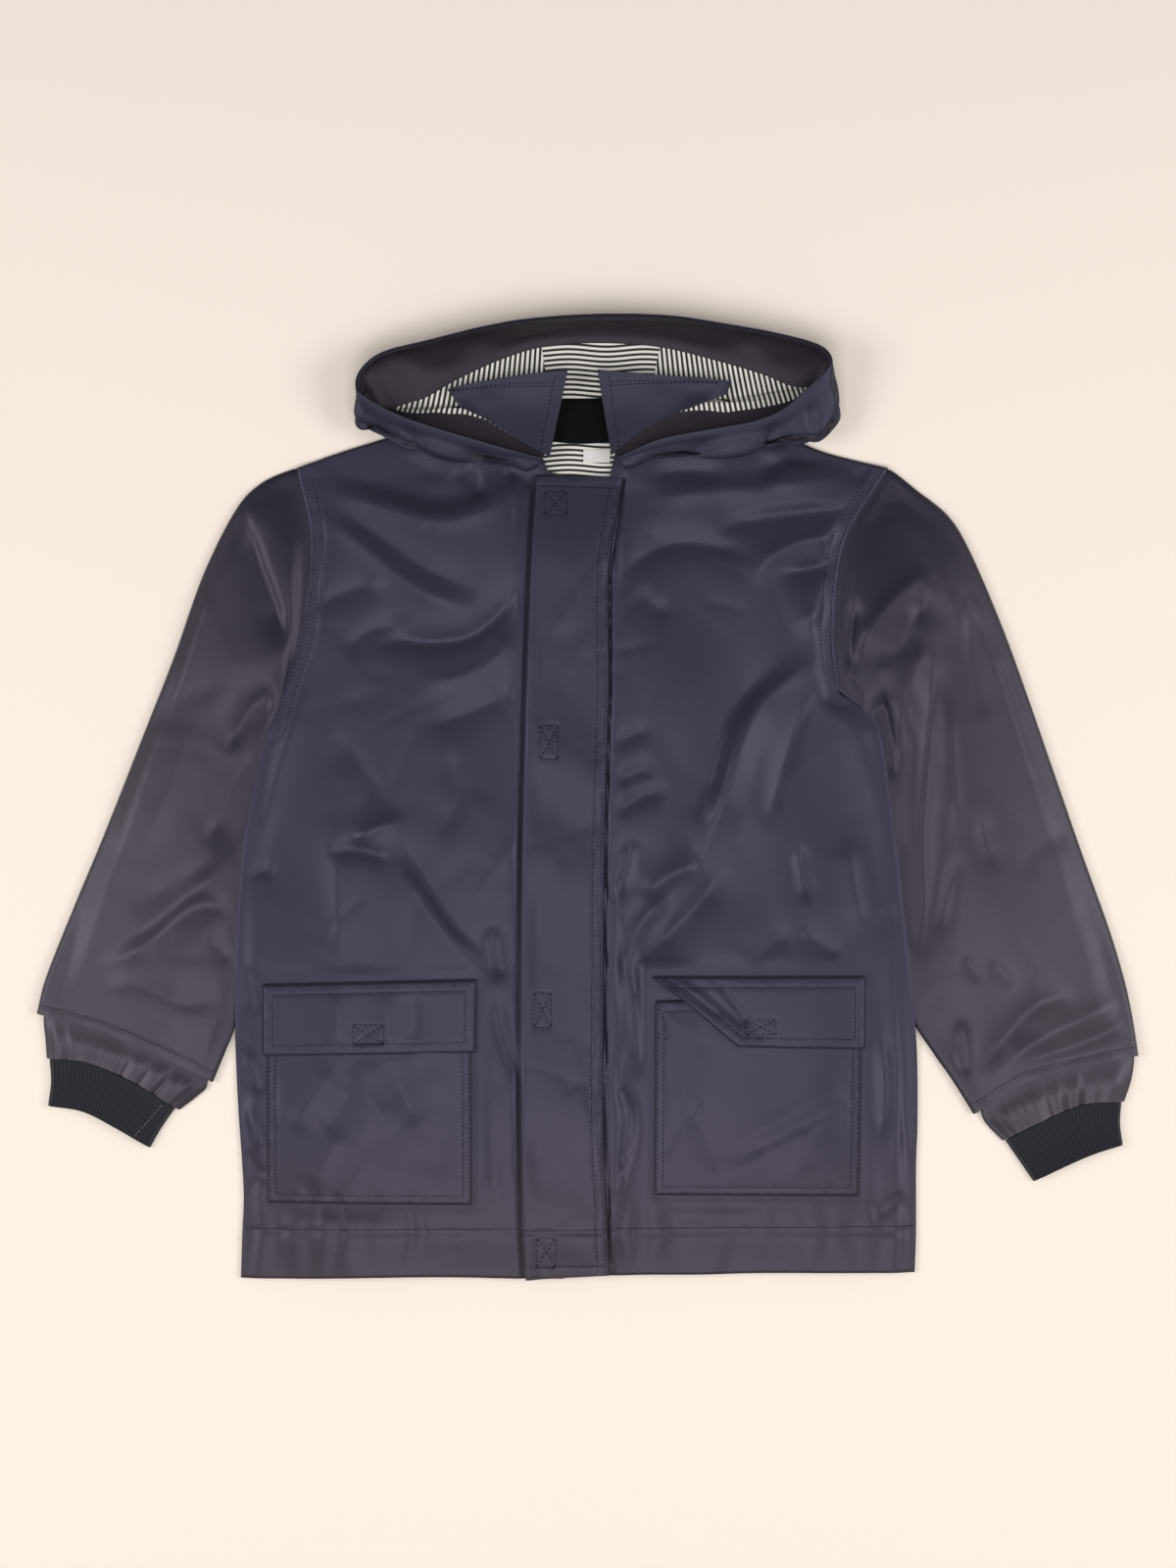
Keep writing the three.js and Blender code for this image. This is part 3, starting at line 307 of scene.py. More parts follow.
# The same for the sleeve ends, then their floor and how strongly they gather
GATHERED_RIGHT = np.array([
    (-385, -144, -351, -154, -309, -171, -274, -189, 3.6, 5.0, 1.4, 0.0),
    (-389, -156, -351, -167, -308, -185, -272, -204, 3.6, 5.6, 1.4, 0.3),
    (-388, -171, -354, -177, -315, -192, -279, -212, 3.2, 7.6, 0, 0.8),
    (-387, -185, -357, -188, -324, -202, -292, -222, 3.2, 6.0, 0, 1.0),
])
GATHERED_LEFT = np.array([
    (390, -174, 352, -182, 317, -193, 280, -211, 3.6, 5.0, 1.4, 0.0),
    (391, -186, 353, -194, 317, -206, 282, -226, 3.6, 5.6, 1.4, 0.3),
    (389, -201, 352, -206, 317, -218, 287, -234, 3.2, 7.6, 0, 0.8),
    (384, -216, 353, -218, 322, -231, 297, -244, 3.2, 6.0, 0, 1.0),
])
SECTION_POINTS = 61
RIBS = 62  # all round a cuff, of which the upper half is raised
CUFF_SEAM = [(-304, -218), (-316, -232), (-326, -243)]
RIB_RIGHT = np.array([
    (-385, -185.5, -357, -188.5, -324.3, -202.6, -295, -220.5, 3.2, 5.6, 0, 0),
    (-384, -202, -360, -206, -331, -220, -305, -235, 3.2, 5.4, 0, 0),
    (-386, -219, -361, -223, -337, -235, -313, -249, 3.2, 5.0, 0, 0),
])
RIB_LEFT = np.array([
    (382, -216.6, 353, -218.6, 322.3, -231.6, 299, -244, 3.2, 5.6, 0, 0),
    (381, -232, 356, -235, 328, -247, 308, -257, 3.2, 5.4, 0, 0),
    (383, -247, 363, -253, 342, -262, 319, -273, 3.2, 5.0, 0, 0),
])

# Placket, pockets and flaps
PLACKET_RIGHT = [(-44, -343), (-46, -299), (-47, -200), (-47, -143), (-46, -26), (-44, 50),
                 (-42, 115), (-39, 187), (-36, 232)]
PLACKET_LEFT = [(17, -339), (14, -290), (12, -233), (12, -143), (13, -26), (16, 81), (16, 164), (26, 230)]
PLACKET_BOXES = ((-31, -15, 203, 220), (-34, -21, 29, 53), (-38, -26, -162, -137), (-36, -23, -334, -312))
FLAP_BOXES = {"pocket_flap_right": (-167, -145, -174, -160), "pocket_flap_left": (112, 134, -167, -156)}
POCKET_RIGHT = [(-229, -288), (-82, -289), (-83, -134), (-229, -136)]
POCKET_LEFT = [(47, -282), (194, -283), (196, -141), (48, -143)]
FLAP_RIGHT = ([(-232, -183), (-80, -180)], [(-232, -132), (-79, -128)])
FLAP_LEFT = ([(56, -135), (68, -143), (88, -160), (107, -176), (150, -177), (198, -178)],
             [(45, -126), (198, -126)])
FLAP_DENTS = ((60, -131, 92, -152), (78, -132, 108, -158), (96, -134, 122, -168))

# Stations round the hood: the neck seam, the facing's inner edge, the bulge and the rim
HOOD = np.array([
    (-30, 247, 8.4, -32, 245, 9.0, -36, 238, 11, -32, 243, 15),
    (-50, 257, 8.0, -51, 253, 8.8, -54, 237, 13, -53, 248, 20),
    (-72, 271, 7.9, -76, 265, 8.8, -84, 239, 15, -79, 255, 24),
    (-87, 278, 7.9, -101, 275, 9.5, -114, 246, 17, -107, 263, 27),
    (-95, 278, 7.2, -122, 275, 9.5, -141, 255, 18, -133, 272, 28),
    (-99, 278.5, 5.2, -136, 277, 7, -161, 265, 18, -156, 284, 29),
    (-98, 280, 3.4, -139, 279, 4.2, -163, 286, 16, -163, 293, 28),
    (-92, 281, 1.9, -131, 283, 2.2, -158, 301, 14, -159, 305, 28),
    (-78, 280, 1.4, -116, 288, 1.5, -141, 314, 14, -144, 316, 29),
    (-61, 278, 1.4, -95, 300, 1.5, -109, 320, 14, -112, 324, 31),
    (-44, 276.5, 1.4, -65, 314, 1.5, -72, 329, 14, -74, 333, 34),
    (-26, 275, 1.4, -33, 324, 1.5, -38, 335, 14, -40, 338.5, 36),
    (0, 274, 1.4, 7, 327, 1.5, 7, 337, 14, 9, 341.5, 37),
    (42, 277, 1.4, 52, 324, 1.5, 56, 336, 14, 58, 340.5, 36),
    (68, 281, 1.4, 90, 315, 1.5, 97, 331, 14, 98, 335, 33),
    (84, 285, 1.4, 124, 305, 1.5, 133, 325, 14, 133, 329, 31),
    (96, 286.5, 1.9, 146, 296, 1.8, 166, 315, 14, 163, 321, 29),
    (101, 285.5, 3.2, 159, 294, 2.4, 174, 295, 14, 172, 311, 29),
    (103, 284, 5.0, 156, 291, 5.0, 180, 270, 15, 167, 302, 29),
    (101, 282.5, 7.0, 145, 284, 8.6, 166, 256, 18, 153, 289, 29),
    (93, 283, 7.8, 123, 279, 9.5, 140, 251, 18, 138, 276, 28),
    (78, 282.5, 7.9, 101, 276, 9.2, 119, 248, 17, 118, 268, 27),
    (59, 275.5, 7.9, 70, 270, 8.9, 90, 244, 16, 90, 263, 25),
    (35, 263, 8.0, 43, 258, 8.8, 54, 242, 14, 52, 256, 21),
    (18, 248, 8.4, 21, 246, 9.0, 26, 239, 11, 22, 244, 15),
])
# Creases across the hood's outside: station, how far they lean, half width and depth
HOOD_CREASES = [
    (1.6, 1.2, 0.25, 2.0), (3.1, 1.6, 0.3, 2.6), (4.6, 1.0, 0.25, 2.2), (6.2, 0.5, 0.3, 1.8),
    (7.8, 0.4, 0.3, 1.0), (16.4, -0.4, 0.3, 1.0), (17.7, -0.6, 0.3, 2.0), (19.4, -1.2, 0.3, 2.6),
    (20.9, -1.5, 0.28, 2.2), (22.6, -1.2, 0.25, 2.0),
]
# Folds along the hood's outside: share of the way from the neck to the rim, half width, depth, and the
# first and last station
HOOD_FOLDS = [
    (0.58, 0.05, 3.2, 0.3, 5.6), (0.75, 0.03, 1.8, 1.6, 8.0),
    (0.60, 0.05, 4.0, 17.6, 22.4), (0.76, 0.03, 2.0, 15.6, 20.4), (0.66, 0.04, 2.4, 21.4, 23.8),
]
STATION_STEPS = 24  # steps from one station to the next
LINE_POINTS = 121  # points from the neck to the rim
CENTRE_SEAMS = (11, 13)
SEAM_GAP = 0.003  # gap at either side of a seam between panels, in stations
FACING_EDGE = 1 / 3  # share of the way from the neck to the rim where the facing starts
THROAT_EDGE = 0.012  # the same at the throat, where the facing reaches the neck seam
FACING_GAP = 0.004
COLLAR_RINGS = 181
DARK_AND_SHADED_BELOW = 6.8  # below this height the collar shows its dark inside, made near black with painted shade
# Stations along the collar ring: base and free edge
COLLAR = np.array([
    (-27, 244.5, 10.4, -14, 306, 16),
    (-50, 257, 10.4, -42, 303, 15),
    (-71, 270.5, 10.4, -70, 299, 13),
    (-86, 278, 10, -91, 295, 12),
    (-93, 284, 7.6, -99, 293, 9),
    (-85, 283.5, 4.6, -93, 290, 5.4),
    (-66, 270, 3.6, -70, 288, 4.0),
    (-35, 258, 3.5, -35, 287, 3.8),
    (0, 254.5, 3.5, 0, 287, 3.8),
    (35, 260, 3.5, 35, 288, 3.8),
    (68, 272, 3.5, 74, 290, 3.9),
    (83, 283, 4.0, 90, 292, 4.4),
    (94, 290, 5.4, 98, 298, 6.4),
    (99, 290, 7.6, 102, 299, 9.5),
    (92, 286.5, 10, 97, 299, 12),
    (79, 281.5, 10.4, 77, 301, 13),
    (60, 274, 10.4, 55, 302, 14),
    (36, 261.5, 10.4, 32, 304, 15),
    (17, 245.5, 10.4, 7, 306, 16),
])

# Each cloth piece by its CAD node
PIECES = {}


# Small sums
def smooth(t):
    """0 to 1 with soft ends."""
    t = np.clip(t, 0, 1)
    return t * t * (3 - 2 * t)


def ridge(distance, width):
    """1 on a line, falling softly to 0 away from it."""
    return np.exp(-((distance / width) ** 2))


def spline(points, count):
    """Evenly numbered points on a smooth curve through the given ones, by their row number."""
    p = np.asarray(points, float)
    p = np.vstack([2 * p[0] - p[1], p, 2 * p[-1] - p[-2]])
    t = np.linspace(0, len(p) - 3, count)
    i = np.minimum(t.astype(int), len(p) - 4)
    f = (t - i)[:, None]
    a, b, c, d = p[i], p[i + 1], p[i + 2], p[i + 3]
    return b + 0.5 * f * (c - a + f * (2 * a - 5 * b + 4 * c - d + f * (3 * (b - c) + d - a)))


def resampled(points, shares):
    """Points at shares of the length of a smooth curve; several outlines join with sharp corners."""
    lines = points if isinstance(points[0][0], (tuple, list, np.ndarray)) else [points]
    dense = np.vstack([spline(line, 24 * (len(line) - 1) + 1) for line in lines])
    run = np.concatenate([[0], np.cumsum(np.linalg.norm(np.diff(dense, axis=0), axis=1))])
    return np.column_stack([np.interp(shares * run[-1], run, dense[:, k]) for k in range(dense.shape[1])])


def close_edges(count, length):
    """Shares of a length with extra ones close to both ends."""
    edge = np.array([0, 0.4, 0.8, 1.2, 1.7, 2.3]) / length
    return np.concatenate([edge, np.linspace(3 / length, 1 - 3 / length, count), 1 - edge[::-1]])


def coons(bottom, top, left, right, u, v):
    """A net of points in plan over a four-sided outline at shares of its width and its length."""
    b, t = resampled(bottom, u), resampled(top, u)
    l, r = resampled(left, v), resampled(right, v)
    uu, vv = u[None, :, None], v[:, None, None]
    ruled = (1 - vv) * b[None] + vv * t[None] + (1 - uu) * l[:, None] + uu * r[:, None]
    corners = (1 - vv) * ((1 - uu) * b[0] + uu * b[-1]) + vv * ((1 - uu) * t[0] + uu * t[-1])
    return ruled - corners


def to_line(x, y, x1, y1, x2, y2):
    """Distance in plan to a straight line between two points."""
    dx, dy = x2 - x1, y2 - y1
    t = np.clip(((x - x1) * dx + (y - y1) * dy) / max(dx * dx + dy * dy, 1e-9), 0, 1)
    return np.hypot(x - x1 - t * dx, y - y1 - t * dy)


def to_outline(x, y, outline):
    """Distance in plan to an outline."""
    pairs = zip(outline[:-1], outline[1:])
    return np.min([to_line(x, y, *a, *b) for a, b in pairs], axis=0)


def along_line(x, y, line):
    """Distance from a line, 1 on its left and -1 on its right, and the share of its length passed."""
    line = np.asarray(line, float)
    run = np.concatenate([[0], np.cumsum(np.linalg.norm(np.diff(line, axis=0), axis=1))])
    nearest, side, share = np.full(x.shape, np.inf), np.ones(x.shape), np.zeros(x.shape)
    for (x1, y1), (x2, y2), start, end in zip(line[:-1], line[1:], run[:-1], run[1:]):
        dx, dy = x2 - x1, y2 - y1
        t = np.clip(((x - x1) * dx + (y - y1) * dy) / (dx * dx + dy * dy), 0, 1)
        away = np.hypot(x - x1 - t * dx, y - y1 - t * dy)
        closer = away < nearest
        nearest = np.where(closer, away, nearest)
        side = np.where(closer, np.sign(dx * (y - y1) - dy * (x - x1)), side)
        share = np.where(closer, (start + t * (end - start)) / run[-1], share)
    return nearest, side, share


def folds(x, y, table, spread=1.0):
    """What the folds add to the height: steeper towards one side, fading out at both ends."""
    total = np.zeros(np.shape(x))
    for on_left, on_right, height, pixels in table:
        points = [(PICTURE_CORNER[0] + PIXEL * u, PICTURE_CORNER[1] - PIXEL * v) for u, v in pixels]
        line = spline(points, 6 * (len(points) - 1) + 1)
        reach = 7 * spread * max(on_left, on_right)
        low, high = line.min(axis=0) - reach, line.max(axis=0) + reach
        near = (x > low[0]) & (x < high[0]) & (y > low[1]) & (y < high[1])
        if not near.any():
            continue
        away, side, share = along_line(x[near], y[near], line)
        width = np.where(side > 0, on_left, on_right)
        fade = smooth(share / FOLD_ENDS) * smooth((1 - share) / FOLD_ENDS) * (1 - FOLD_LEFT) + FOLD_LEFT
        rounded = np.sqrt(away ** 2 + CREST ** 2) - CREST
        total[near] += height * fade * np.exp(-rounded / (0.75 * spread * width))
    return total


def creases(x, y, seed, count, area, height):
    """Fine random creases over an area (x1, x2, y1, y2)."""
    rng = np.random.default_rng(seed)
    total = np.zeros(np.shape(x))
    for _ in range(count):
        cx, cy = rng.uniform(area[0], area[1]), rng.uniform(area[2], area[3])
        angle = rng.uniform(0, math.pi)
        half = rng.uniform(8, 32)
        width = rng.uniform(3.0, 9.0)
        dx, dy = half * math.cos(angle), half * math.sin(angle)
        rise = rng.uniform(0.3, 1.0) * height * (-1 if rng.random() < 0.65 else 1)
        near = to_line(x, y, cx - dx, cy - dy, cx + dx, cy + dy)
        total += rise * ridge(near, width)
    return total


def swell(x, y):
    """Broad soft unevenness of the laid cloth."""
    return (0.7 * np.sin(x / 31 + y / 57) + 0.6 * np.sin(y / 38 - x / 71 + 1.3)
            + 0.35 * np.sin(x / 17 + y / 23 + 0.6))


def puckers(x, y, outline, reach, height):
    """Short ripples across a stitched seam."""
    near = to_outline(x, y, outline)
    along = np.where(abs(outline[-1][0] - outline[0][0]) > abs(outline[-1][1] - outline[0][1]), x, y)
    drift = along + 0.12 * reach * np.sin(near / reach * 2.4 + along / 9)
    wave = 0.35 * np.sin(drift / 2.3 + 3.2 * np.sin(along / 17)) * (0.5 + 0.5 * np.sin(along / 23 + 1)) ** 2
    wave = wave + 0.9 * np.sin(drift / 4.4 + 2.8 * np.sin(along / 31)) * (0.6 + 0.4 * np.sin(along / 37))
    return height * wave * ridge(near, reach)


def in_box(x, y, x1, x2, y1, y2, fade):
    """1 inside a rectangle, falling to 0 outside it."""
    dx = np.maximum(np.maximum(x1 - x, x - x2), 0)
    dy = np.maximum(np.maximum(y1 - y, y - y2), 0)
    return 1 - smooth(np.hypot(dx, dy) / fade)


def moats(x, y):
    """How far the fronts sink beside the pieces that lie on them."""
    sunk = PLACKET_MOAT * ridge(to_outline(x, y, PLACKET_RIGHT), 4)
    for corners in (POCKET_RIGHT, POCKET_LEFT):
        near = to_outline(x, y, [*corners, corners[0]])
        sunk = np.maximum(sunk, POCKET_MOAT * ridge(near, 2.5))
    return sunk


def front_top(x, y):
    """The height of the top of the fronts at a point in plan."""
    look = bpy.context.scene.raincoat_look
    left = x > 0

    def to_either(right_line, left_line):
        return np.where(left, to_outline(x, y, left_line), to_outline(x, y, right_line))

    armhole = to_either(ARMHOLE_RIGHT, ARMHOLE_LEFT)
    side = np.minimum(to_either(SIDE_RIGHT, SIDE_LEFT), armhole)
    shoulder = to_either(SHOULDER_RIGHT, SHOULDER_LEFT)
    rim = np.minimum(side, shoulder)
    # The level: lower at the sides and shoulders, puffed up between them
    edge = LOW_EDGE + EDGE_RISE * smooth((y + 190) / 25)
    shoulder_edge = LOW_EDGE + EDGE_RISE - EDGE_RISE * smooth((armhole - 4) / 20)
    from_side = (FRONT_TOP - edge) * (1 - smooth(side / 15))
    corners = NECK_RIGHT[0], NECK_LEFT[0]
    corner = np.minimum(*[np.hypot(x - cx, y - cy) for cx, cy in corners])
    from_shoulder = ((FRONT_TOP - shoulder_edge) * (1 - smooth(shoulder / 20))
                     * smooth(corner / 30 - 0.4))
    level = FRONT_TOP - np.maximum(from_side, from_shoulder)
    inside = smooth((rim - 4) / 90) * smooth((238 - y) / 70)
    pressed = 1 - 0.55 * (1 - smooth((y - HEM) / 40))
    level = level + look.puff * inside * pressed
    # The folds, quieter where other pieces lie on the fronts
    calm = np.maximum.reduce([still * in_box(x, y, *area, fade) for still, area, fade in CALM])
    strength = np.where(left, LEFT_FOLDS, RIGHT_FOLDS) * look.fold_strength
    relief = folds(x, y, TORSO_FOLDS) * strength + 1.8 * swell(x, y)
    relief = relief + creases(x, y, 7, 150, (-250, 240, -340, 240), 0.45)
    relief = relief * (1 - calm) * smooth((rim - 3) / 16)
    relief = relief + folds(x, y, EDGE_FOLDS) * smooth((rim - 2) / 7)
    # The seams
    drawn = puckers(x, y, HEM_LINE, 26, 0.85) * (1 - in_box(x, y, -50, 18, -345, 235, 6))
    relief = relief + drawn * smooth((side - 2) / 8)
    relief = relief - 0.9 * ridge(y - HEM_SEAM, 1.6)
    relief = relief + 0.35 * (1 - smooth((y + 310) / 3))
    for line in (ARMHOLE_RIGHT, ARMHOLE_LEFT):
        near = to_outline(x, y, line)
        relief = relief + puckers(x, y, line, 8, 0.35) * smooth(near / 4)
        relief = relief - 0.5 * ridge(near - TOPSTITCH, 1.6)
    relief = relief - moats(x, y) - PLACKET_STEP * ridge(to_outline(x, y, PLACKET_LEFT), 1.6)
    return np.maximum(level + relief, np.where(side < 12, edge, LOWEST_TOP))


# Meshes
def add_mesh(name, vertices, faces, material, angle=40):
    """A closed cloth mesh in millimetres, made an object in metres with outward faces."""
    mesh = bpy.data.meshes.new(name)
    mesh.from_pydata((np.asarray(vertices) * MM).tolist(), [], np.asarray(faces).tolist())
    mesh.update()
    obj = bpy.data.objects.new(name, mesh)
    bpy.context.scene.collection.objects.link(obj)
    obj.data.materials.append(material)
    bpy.ops.object.select_all(action="DESELECT")
    obj.select_set(True)
    bpy.context.view_layer.objects.active = obj
    bpy.ops.object.mode_set(mode="EDIT")
    bpy.ops.mesh.select_all(action="SELECT")
    bpy.ops.mesh.normals_make_consistent(inside=False)
    bpy.ops.object.mode_set(mode="OBJECT")
    bpy.ops.object.shade_smooth_by_angle(angle=math.radians(angle))
    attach(obj, "root")
    return obj


def quads(a, b, c, d):
    """Faces from the numbers of their four corners."""
    return np.stack([a, b, c, d], -1).reshape(-1, 4)


def shell(name, upper, under, material, angle=40):
    """A closed wall between two nets of the same size."""
    rows, columns = upper.shape[:2]
    vertices = np.vstack([upper.reshape(-1, 3), under.reshape(-1, 3)])
    index = np.arange(rows * columns).reshape(rows, columns)
    low = index + rows * columns
    faces = [quads(n[:-1, :-1], n[:-1, 1:], n[1:, 1:], n[1:, :-1]) for n in (index, low)]
    faces[1] = faces[1][:, ::-1]
    rims = (index[0], index[-1, ::-1], index[::-1, 0], index[:, -1])
    for up in rims:
        down = up + rows * columns
        faces.append(quads(up[:-1], down[:-1], down[1:], up[1:]))
    return add_mesh(name, vertices, np.vstack(faces), material, angle)


def tube(name, outer, inner, material, angle=50):
    """A closed wall between nested rings, open at both ends."""
    rows, count = outer.shape[:2]
    vertices = np.vstack([outer.reshape(-1, 3), inner.reshape(-1, 3)])
    index = np.arange(rows * count).reshape(rows, count)
    faces = []
    for n, turn in ((index, 1), (index + rows * count, -1)):
        r = np.roll(n, -1, axis=1)
        faces.append(quads(n[:-1], r[:-1], r[1:], n[1:])[:, ::turn])
    for row, turn in ((0, 1), (-1, -1)):
        a, b = index[row], index[row] + rows * count
        faces.append(quads(a, b, np.roll(b, -1), np.roll(a, -1))[:, ::turn])
    return add_mesh(name, vertices, np.vstack(faces), material, angle)


def declare(obj, node):
    """The piece stands for its CAD node: it is kept under the node's name and its CAD part is hidden."""
    PIECES[node] = obj
    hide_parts(node)


def lay(node, net, heights, thickness, key="shell"):
    """A cloth piece over a net in plan with the height of its top at each point."""
    upper = np.dstack([net, heights])
    under = np.dstack([net, heights - thickness])
    declare(shell("cloth_" + node, upper, under, material_for(key)), node)


def border(net):
    """Distance in plan of each point of a net from the net's border."""
    ring = np.vstack([net[0], net[1:, -1], net[-1, ::-1][1:], net[::-1, 0][1:]])
    step = max(1, len(ring) // 90)
    ring = np.vstack([ring[::step], ring[-1]])
    return to_outline(net[..., 0], net[..., 1], [tuple(p) for p in ring])


def stitched_edge(distance, rows, depth=0.4):
    """A folded edge that turns down, with grooves where its stitching runs."""
    edge = -1.6 * (1 - smooth(distance / 1.5)) - 0.3 * (1 - smooth(distance / 4))
    for row in rows:
        edge = edge - depth * ridge(distance - row, 0.8)
    return edge


# Materials
def new_material(name, roughness, shine=0.5):
    """A material, its node tree and its surface shader."""
    material = bpy.data.materials.new(name)
    material.use_nodes = True
    bsdf = material.node_tree.nodes["Principled BSDF"]
    bsdf.inputs["Roughness"].default_value = roughness
    bsdf.inputs["Specular IOR Level"].default_value = shine
    return material, material.node_tree, bsdf


def add_node(tree, kind, inputs=None, operation=None):
    """A shader node whose inputs take values or the outputs of other nodes."""
    node = tree.nodes.new("ShaderNode" + kind)
    if kind == "Mix":
        node.data_type = "RGBA"
    if operation:
        node.operation = operation
    for socket, given in (inputs or {}).items():
        if isinstance(given, bpy.types.NodeSocket):
            tree.links.new(given, node.inputs[socket])
        else:
            node.inputs[socket].default_value = given
    return node


def coated_cloth(name, colour, roughness, shine, tint, painted_shade=1.0):
    """Satin coated cotton: a fine weave, uneven in tone, with painted light that turns it a lighter, warmer
    grey towards the hem and, where the last argument is below 1, painted shade that darkens it beside the
    body."""
    material, tree, bsdf = new_material(name, roughness, shine)
    bsdf.inputs["Specular Tint"].default_value = (*tint, 1)
    place = add_node(tree, "TexCoord").outputs["Object"]
    split = add_node(tree, "SeparateXYZ", {0: place})
    tone = add_node(tree, "TexNoise", {"Vector": place, "Scale": 14, "Detail": 3})
    dark, light = [(*[share * c for c in colour], 1) for share in UNEVEN]
    uneven = add_node(tree, "Mix", {0: tone.outputs["Fac"], 6: dark, 7: light})
    # painted light: the cloth turns lighter and warmer towards the hem
    low = add_node(tree, "MapRange", {"Value": split.outputs["Y"], "From Min": PAINTED_LIGHT_SPAN[0], "From Max": PAINTED_LIGHT_SPAN[1]})
    lit_colour = (*[c * share for c, share in zip(colour, PAINTED_LIGHT_TINT)], 1)
    lit_towards_hem = add_node(tree, "Mix", {0: low.outputs["Result"], 6: uneven.outputs[2], 7: lit_colour})
    # painted shade: darker beside the body where the last argument is below 1
    away = add_node(tree, "Math", {0: split.outputs["X"]}, "ABSOLUTE")
    near = add_node(tree, "MapRange", {"Value": away.outputs[0], "From Min": PAINTED_SHADE_SPAN[0],
                                       "From Max": PAINTED_SHADE_SPAN[1], "To Min": painted_shade})
    with_painted_shade = add_node(tree, "Mix", {0: near.outputs["Result"], 6: PAINTED_SHADE, 7: lit_towards_hem.outputs[2]})
    weave = add_node(tree, "TexNoise", {"Vector": place, "Scale": 1500})
    bump = add_node(tree, "Bump", {"Strength": 0.12, "Distance": 0.0003, "Height": weave.outputs["Fac"]})
    tree.links.new(with_painted_shade.outputs[2], bsdf.inputs["Base Color"])
    tree.links.new(bump.outputs["Normal"], bsdf.inputs["Normal"])
    return material


def plain(name, colour, roughness, shine=0.5):
    """A material of one colour."""
    material, _, bsdf = new_material(name, roughness, shine)
    bsdf.inputs["Base Color"].default_value = (*colour, 1)
    return material


def striped(name, light, dark, period, turned):
    """Jersey stripes of one period: along Y and fanning out or, turned, along X and waving."""
    material, tree, bsdf = new_material(name, 0.9)
    place = add_node(tree, "TexCoord").outputs["Object"]
    split = add_node(tree, "SeparateXYZ", {0: place})
    x, y = split.outputs["X"], split.outputs["Y"]
    if turned:
        turns = add_node(tree, "Math", {0: x, 1: STRIPE_TURNS}, "MULTIPLY")
        ripple = add_node(tree, "Math", {0: turns.outputs[0]}, "SINE")
        across = add_node(tree, "Math", {0: ripple.outputs[0], 1: STRIPE_WAVE, 2: y}, "MULTIPLY_ADD")
    else:
        fan = add_node(tree, "Math", {0: y, 1: STRIPE_FAN, 2: 1 - STRIPE_FAN_FROM * STRIPE_FAN},
                       "MULTIPLY_ADD")
        across = add_node(tree, "Math", {0: fan.outputs[0], 1: x}, "MULTIPLY")
    scale = add_node(tree, "Math", {0: across.outputs[0], 1: 2 * math.pi / period}, "MULTIPLY")
    wave = add_node(tree, "Math", {0: scale.outputs[0]}, "SINE")
    ramp = add_node(tree, "MapRange", {"Value": wave.outputs[0], "From Min": -STRIPE_EDGE,
                                       "From Max": STRIPE_EDGE})
    mix = add_node(tree, "Mix", {0: ramp.outputs["Result"], 6: (*light, 1), 7: (*dark, 1)})
    tree.links.new(mix.outputs[2], bsdf.inputs["Base Color"])
    return material


MATERIALS = {}


def material_for(key):
    """The shared material of that name, made when first used."""
    if key in MATERIALS:
        return MATERIALS[key]
    look = bpy.context.scene.raincoat_look
    stripes = look.light_stripe, look.dark_stripe, look.stripe_period
    makers = {
        "shell": lambda: coated_cloth("shell_cloth", look.shell, 0.42, 0.42, (0.78, 0.70, 1.0)),
        # the sleeves take painted shade beside the body
        "sleeve": lambda: coated_cloth("sleeve_cloth", look.sleeve, 0.43, 0.46, (0.88, 0.79, 1.0), 0.0),
        "hood": lambda: coated_cloth("hood_cloth", look.hood, 0.45, 0.38, (0.74, 0.70, 1.0)),
        "facing": lambda: coated_cloth("facing_cloth", look.facing, 0.48, 0.30, (0.90, 0.80, 1.0)),
        # near black: the collar's dark inside with painted shade
        "inner": lambda: plain("collar_back_and_shade", look.inner, 0.95, 0.1),
        "rib": lambda: plain("rib_knit", look.rib, 0.85),
        # near black: dark thread with painted shade between the stitches
        "thread": lambda: plain("thread", look.thread, 0.8, 0.1),
        "pale_thread": lambda: plain("pale_thread", look.pale_thread, 0.7),
        "label": lambda: plain("label_tape", look.label, 0.8),
        "stripes": lambda: striped("side_stripes", *stripes, False),
        "cross_stripes": lambda: striped("centre_stripes", *stripes, True),
    }
    MATERIALS[key] = makers[key]()
    return MATERIALS[key]


# The pieces of cloth
def make_fronts():
    for node, hem, side, armhole, shoulder, neck, centre in (
        ("front_right", HEM_RIGHT, SIDE_RIGHT, ARMHOLE_RIGHT, SHOULDER_RIGHT, NECK_RIGHT,
         [[HEM_RIGHT[-1], NECK_RIGHT[-1]]]),
        ("front_left", HEM_LEFT, SIDE_LEFT, ARMHOLE_LEFT, SHOULDER_LEFT, NECK_LEFT,
         [[HEM_LEFT[-1], OPENING], [OPENING, NECK_LEFT[-1]]]),
    ):
        net = coons([hem], [shoulder, neck], [side, armhole], centre,
                    close_edges(112, 240), close_edges(226, 600))
        heights = front_top(net[..., 0], net[..., 1]) - 0.9 * (1 - smooth(border(net) / 2))
        lay(node, net, heights, LAID_CLOTH)


def make_back():
    hem = [HEM_RIGHT + HEM_LEFT[-2::-1]]
    net = coons(hem, [SHOULDER_RIGHT, BACK_NECK, SHOULDER_LEFT[::-1]], [SIDE_RIGHT, ARMHOLE_RIGHT],
                [SIDE_LEFT, ARMHOLE_LEFT], np.linspace(0, 1, 25), np.linspace(0, 1, 41))
    clear = BACK_INSET * smooth((net[..., 1] + 200) / 40)
    share = np.linspace(1, -1, net.shape[1])[None]
    net[..., 0] += clear * share
    lay("back", net, np.full(net.shape[:2], LAID_CLOTH), LAID_CLOTH)


def section(row):
    """The four points in plan of a sleeve's section."""
    return [tuple(row[k:k + 2]) for k in (0, 2, 4, 6)]


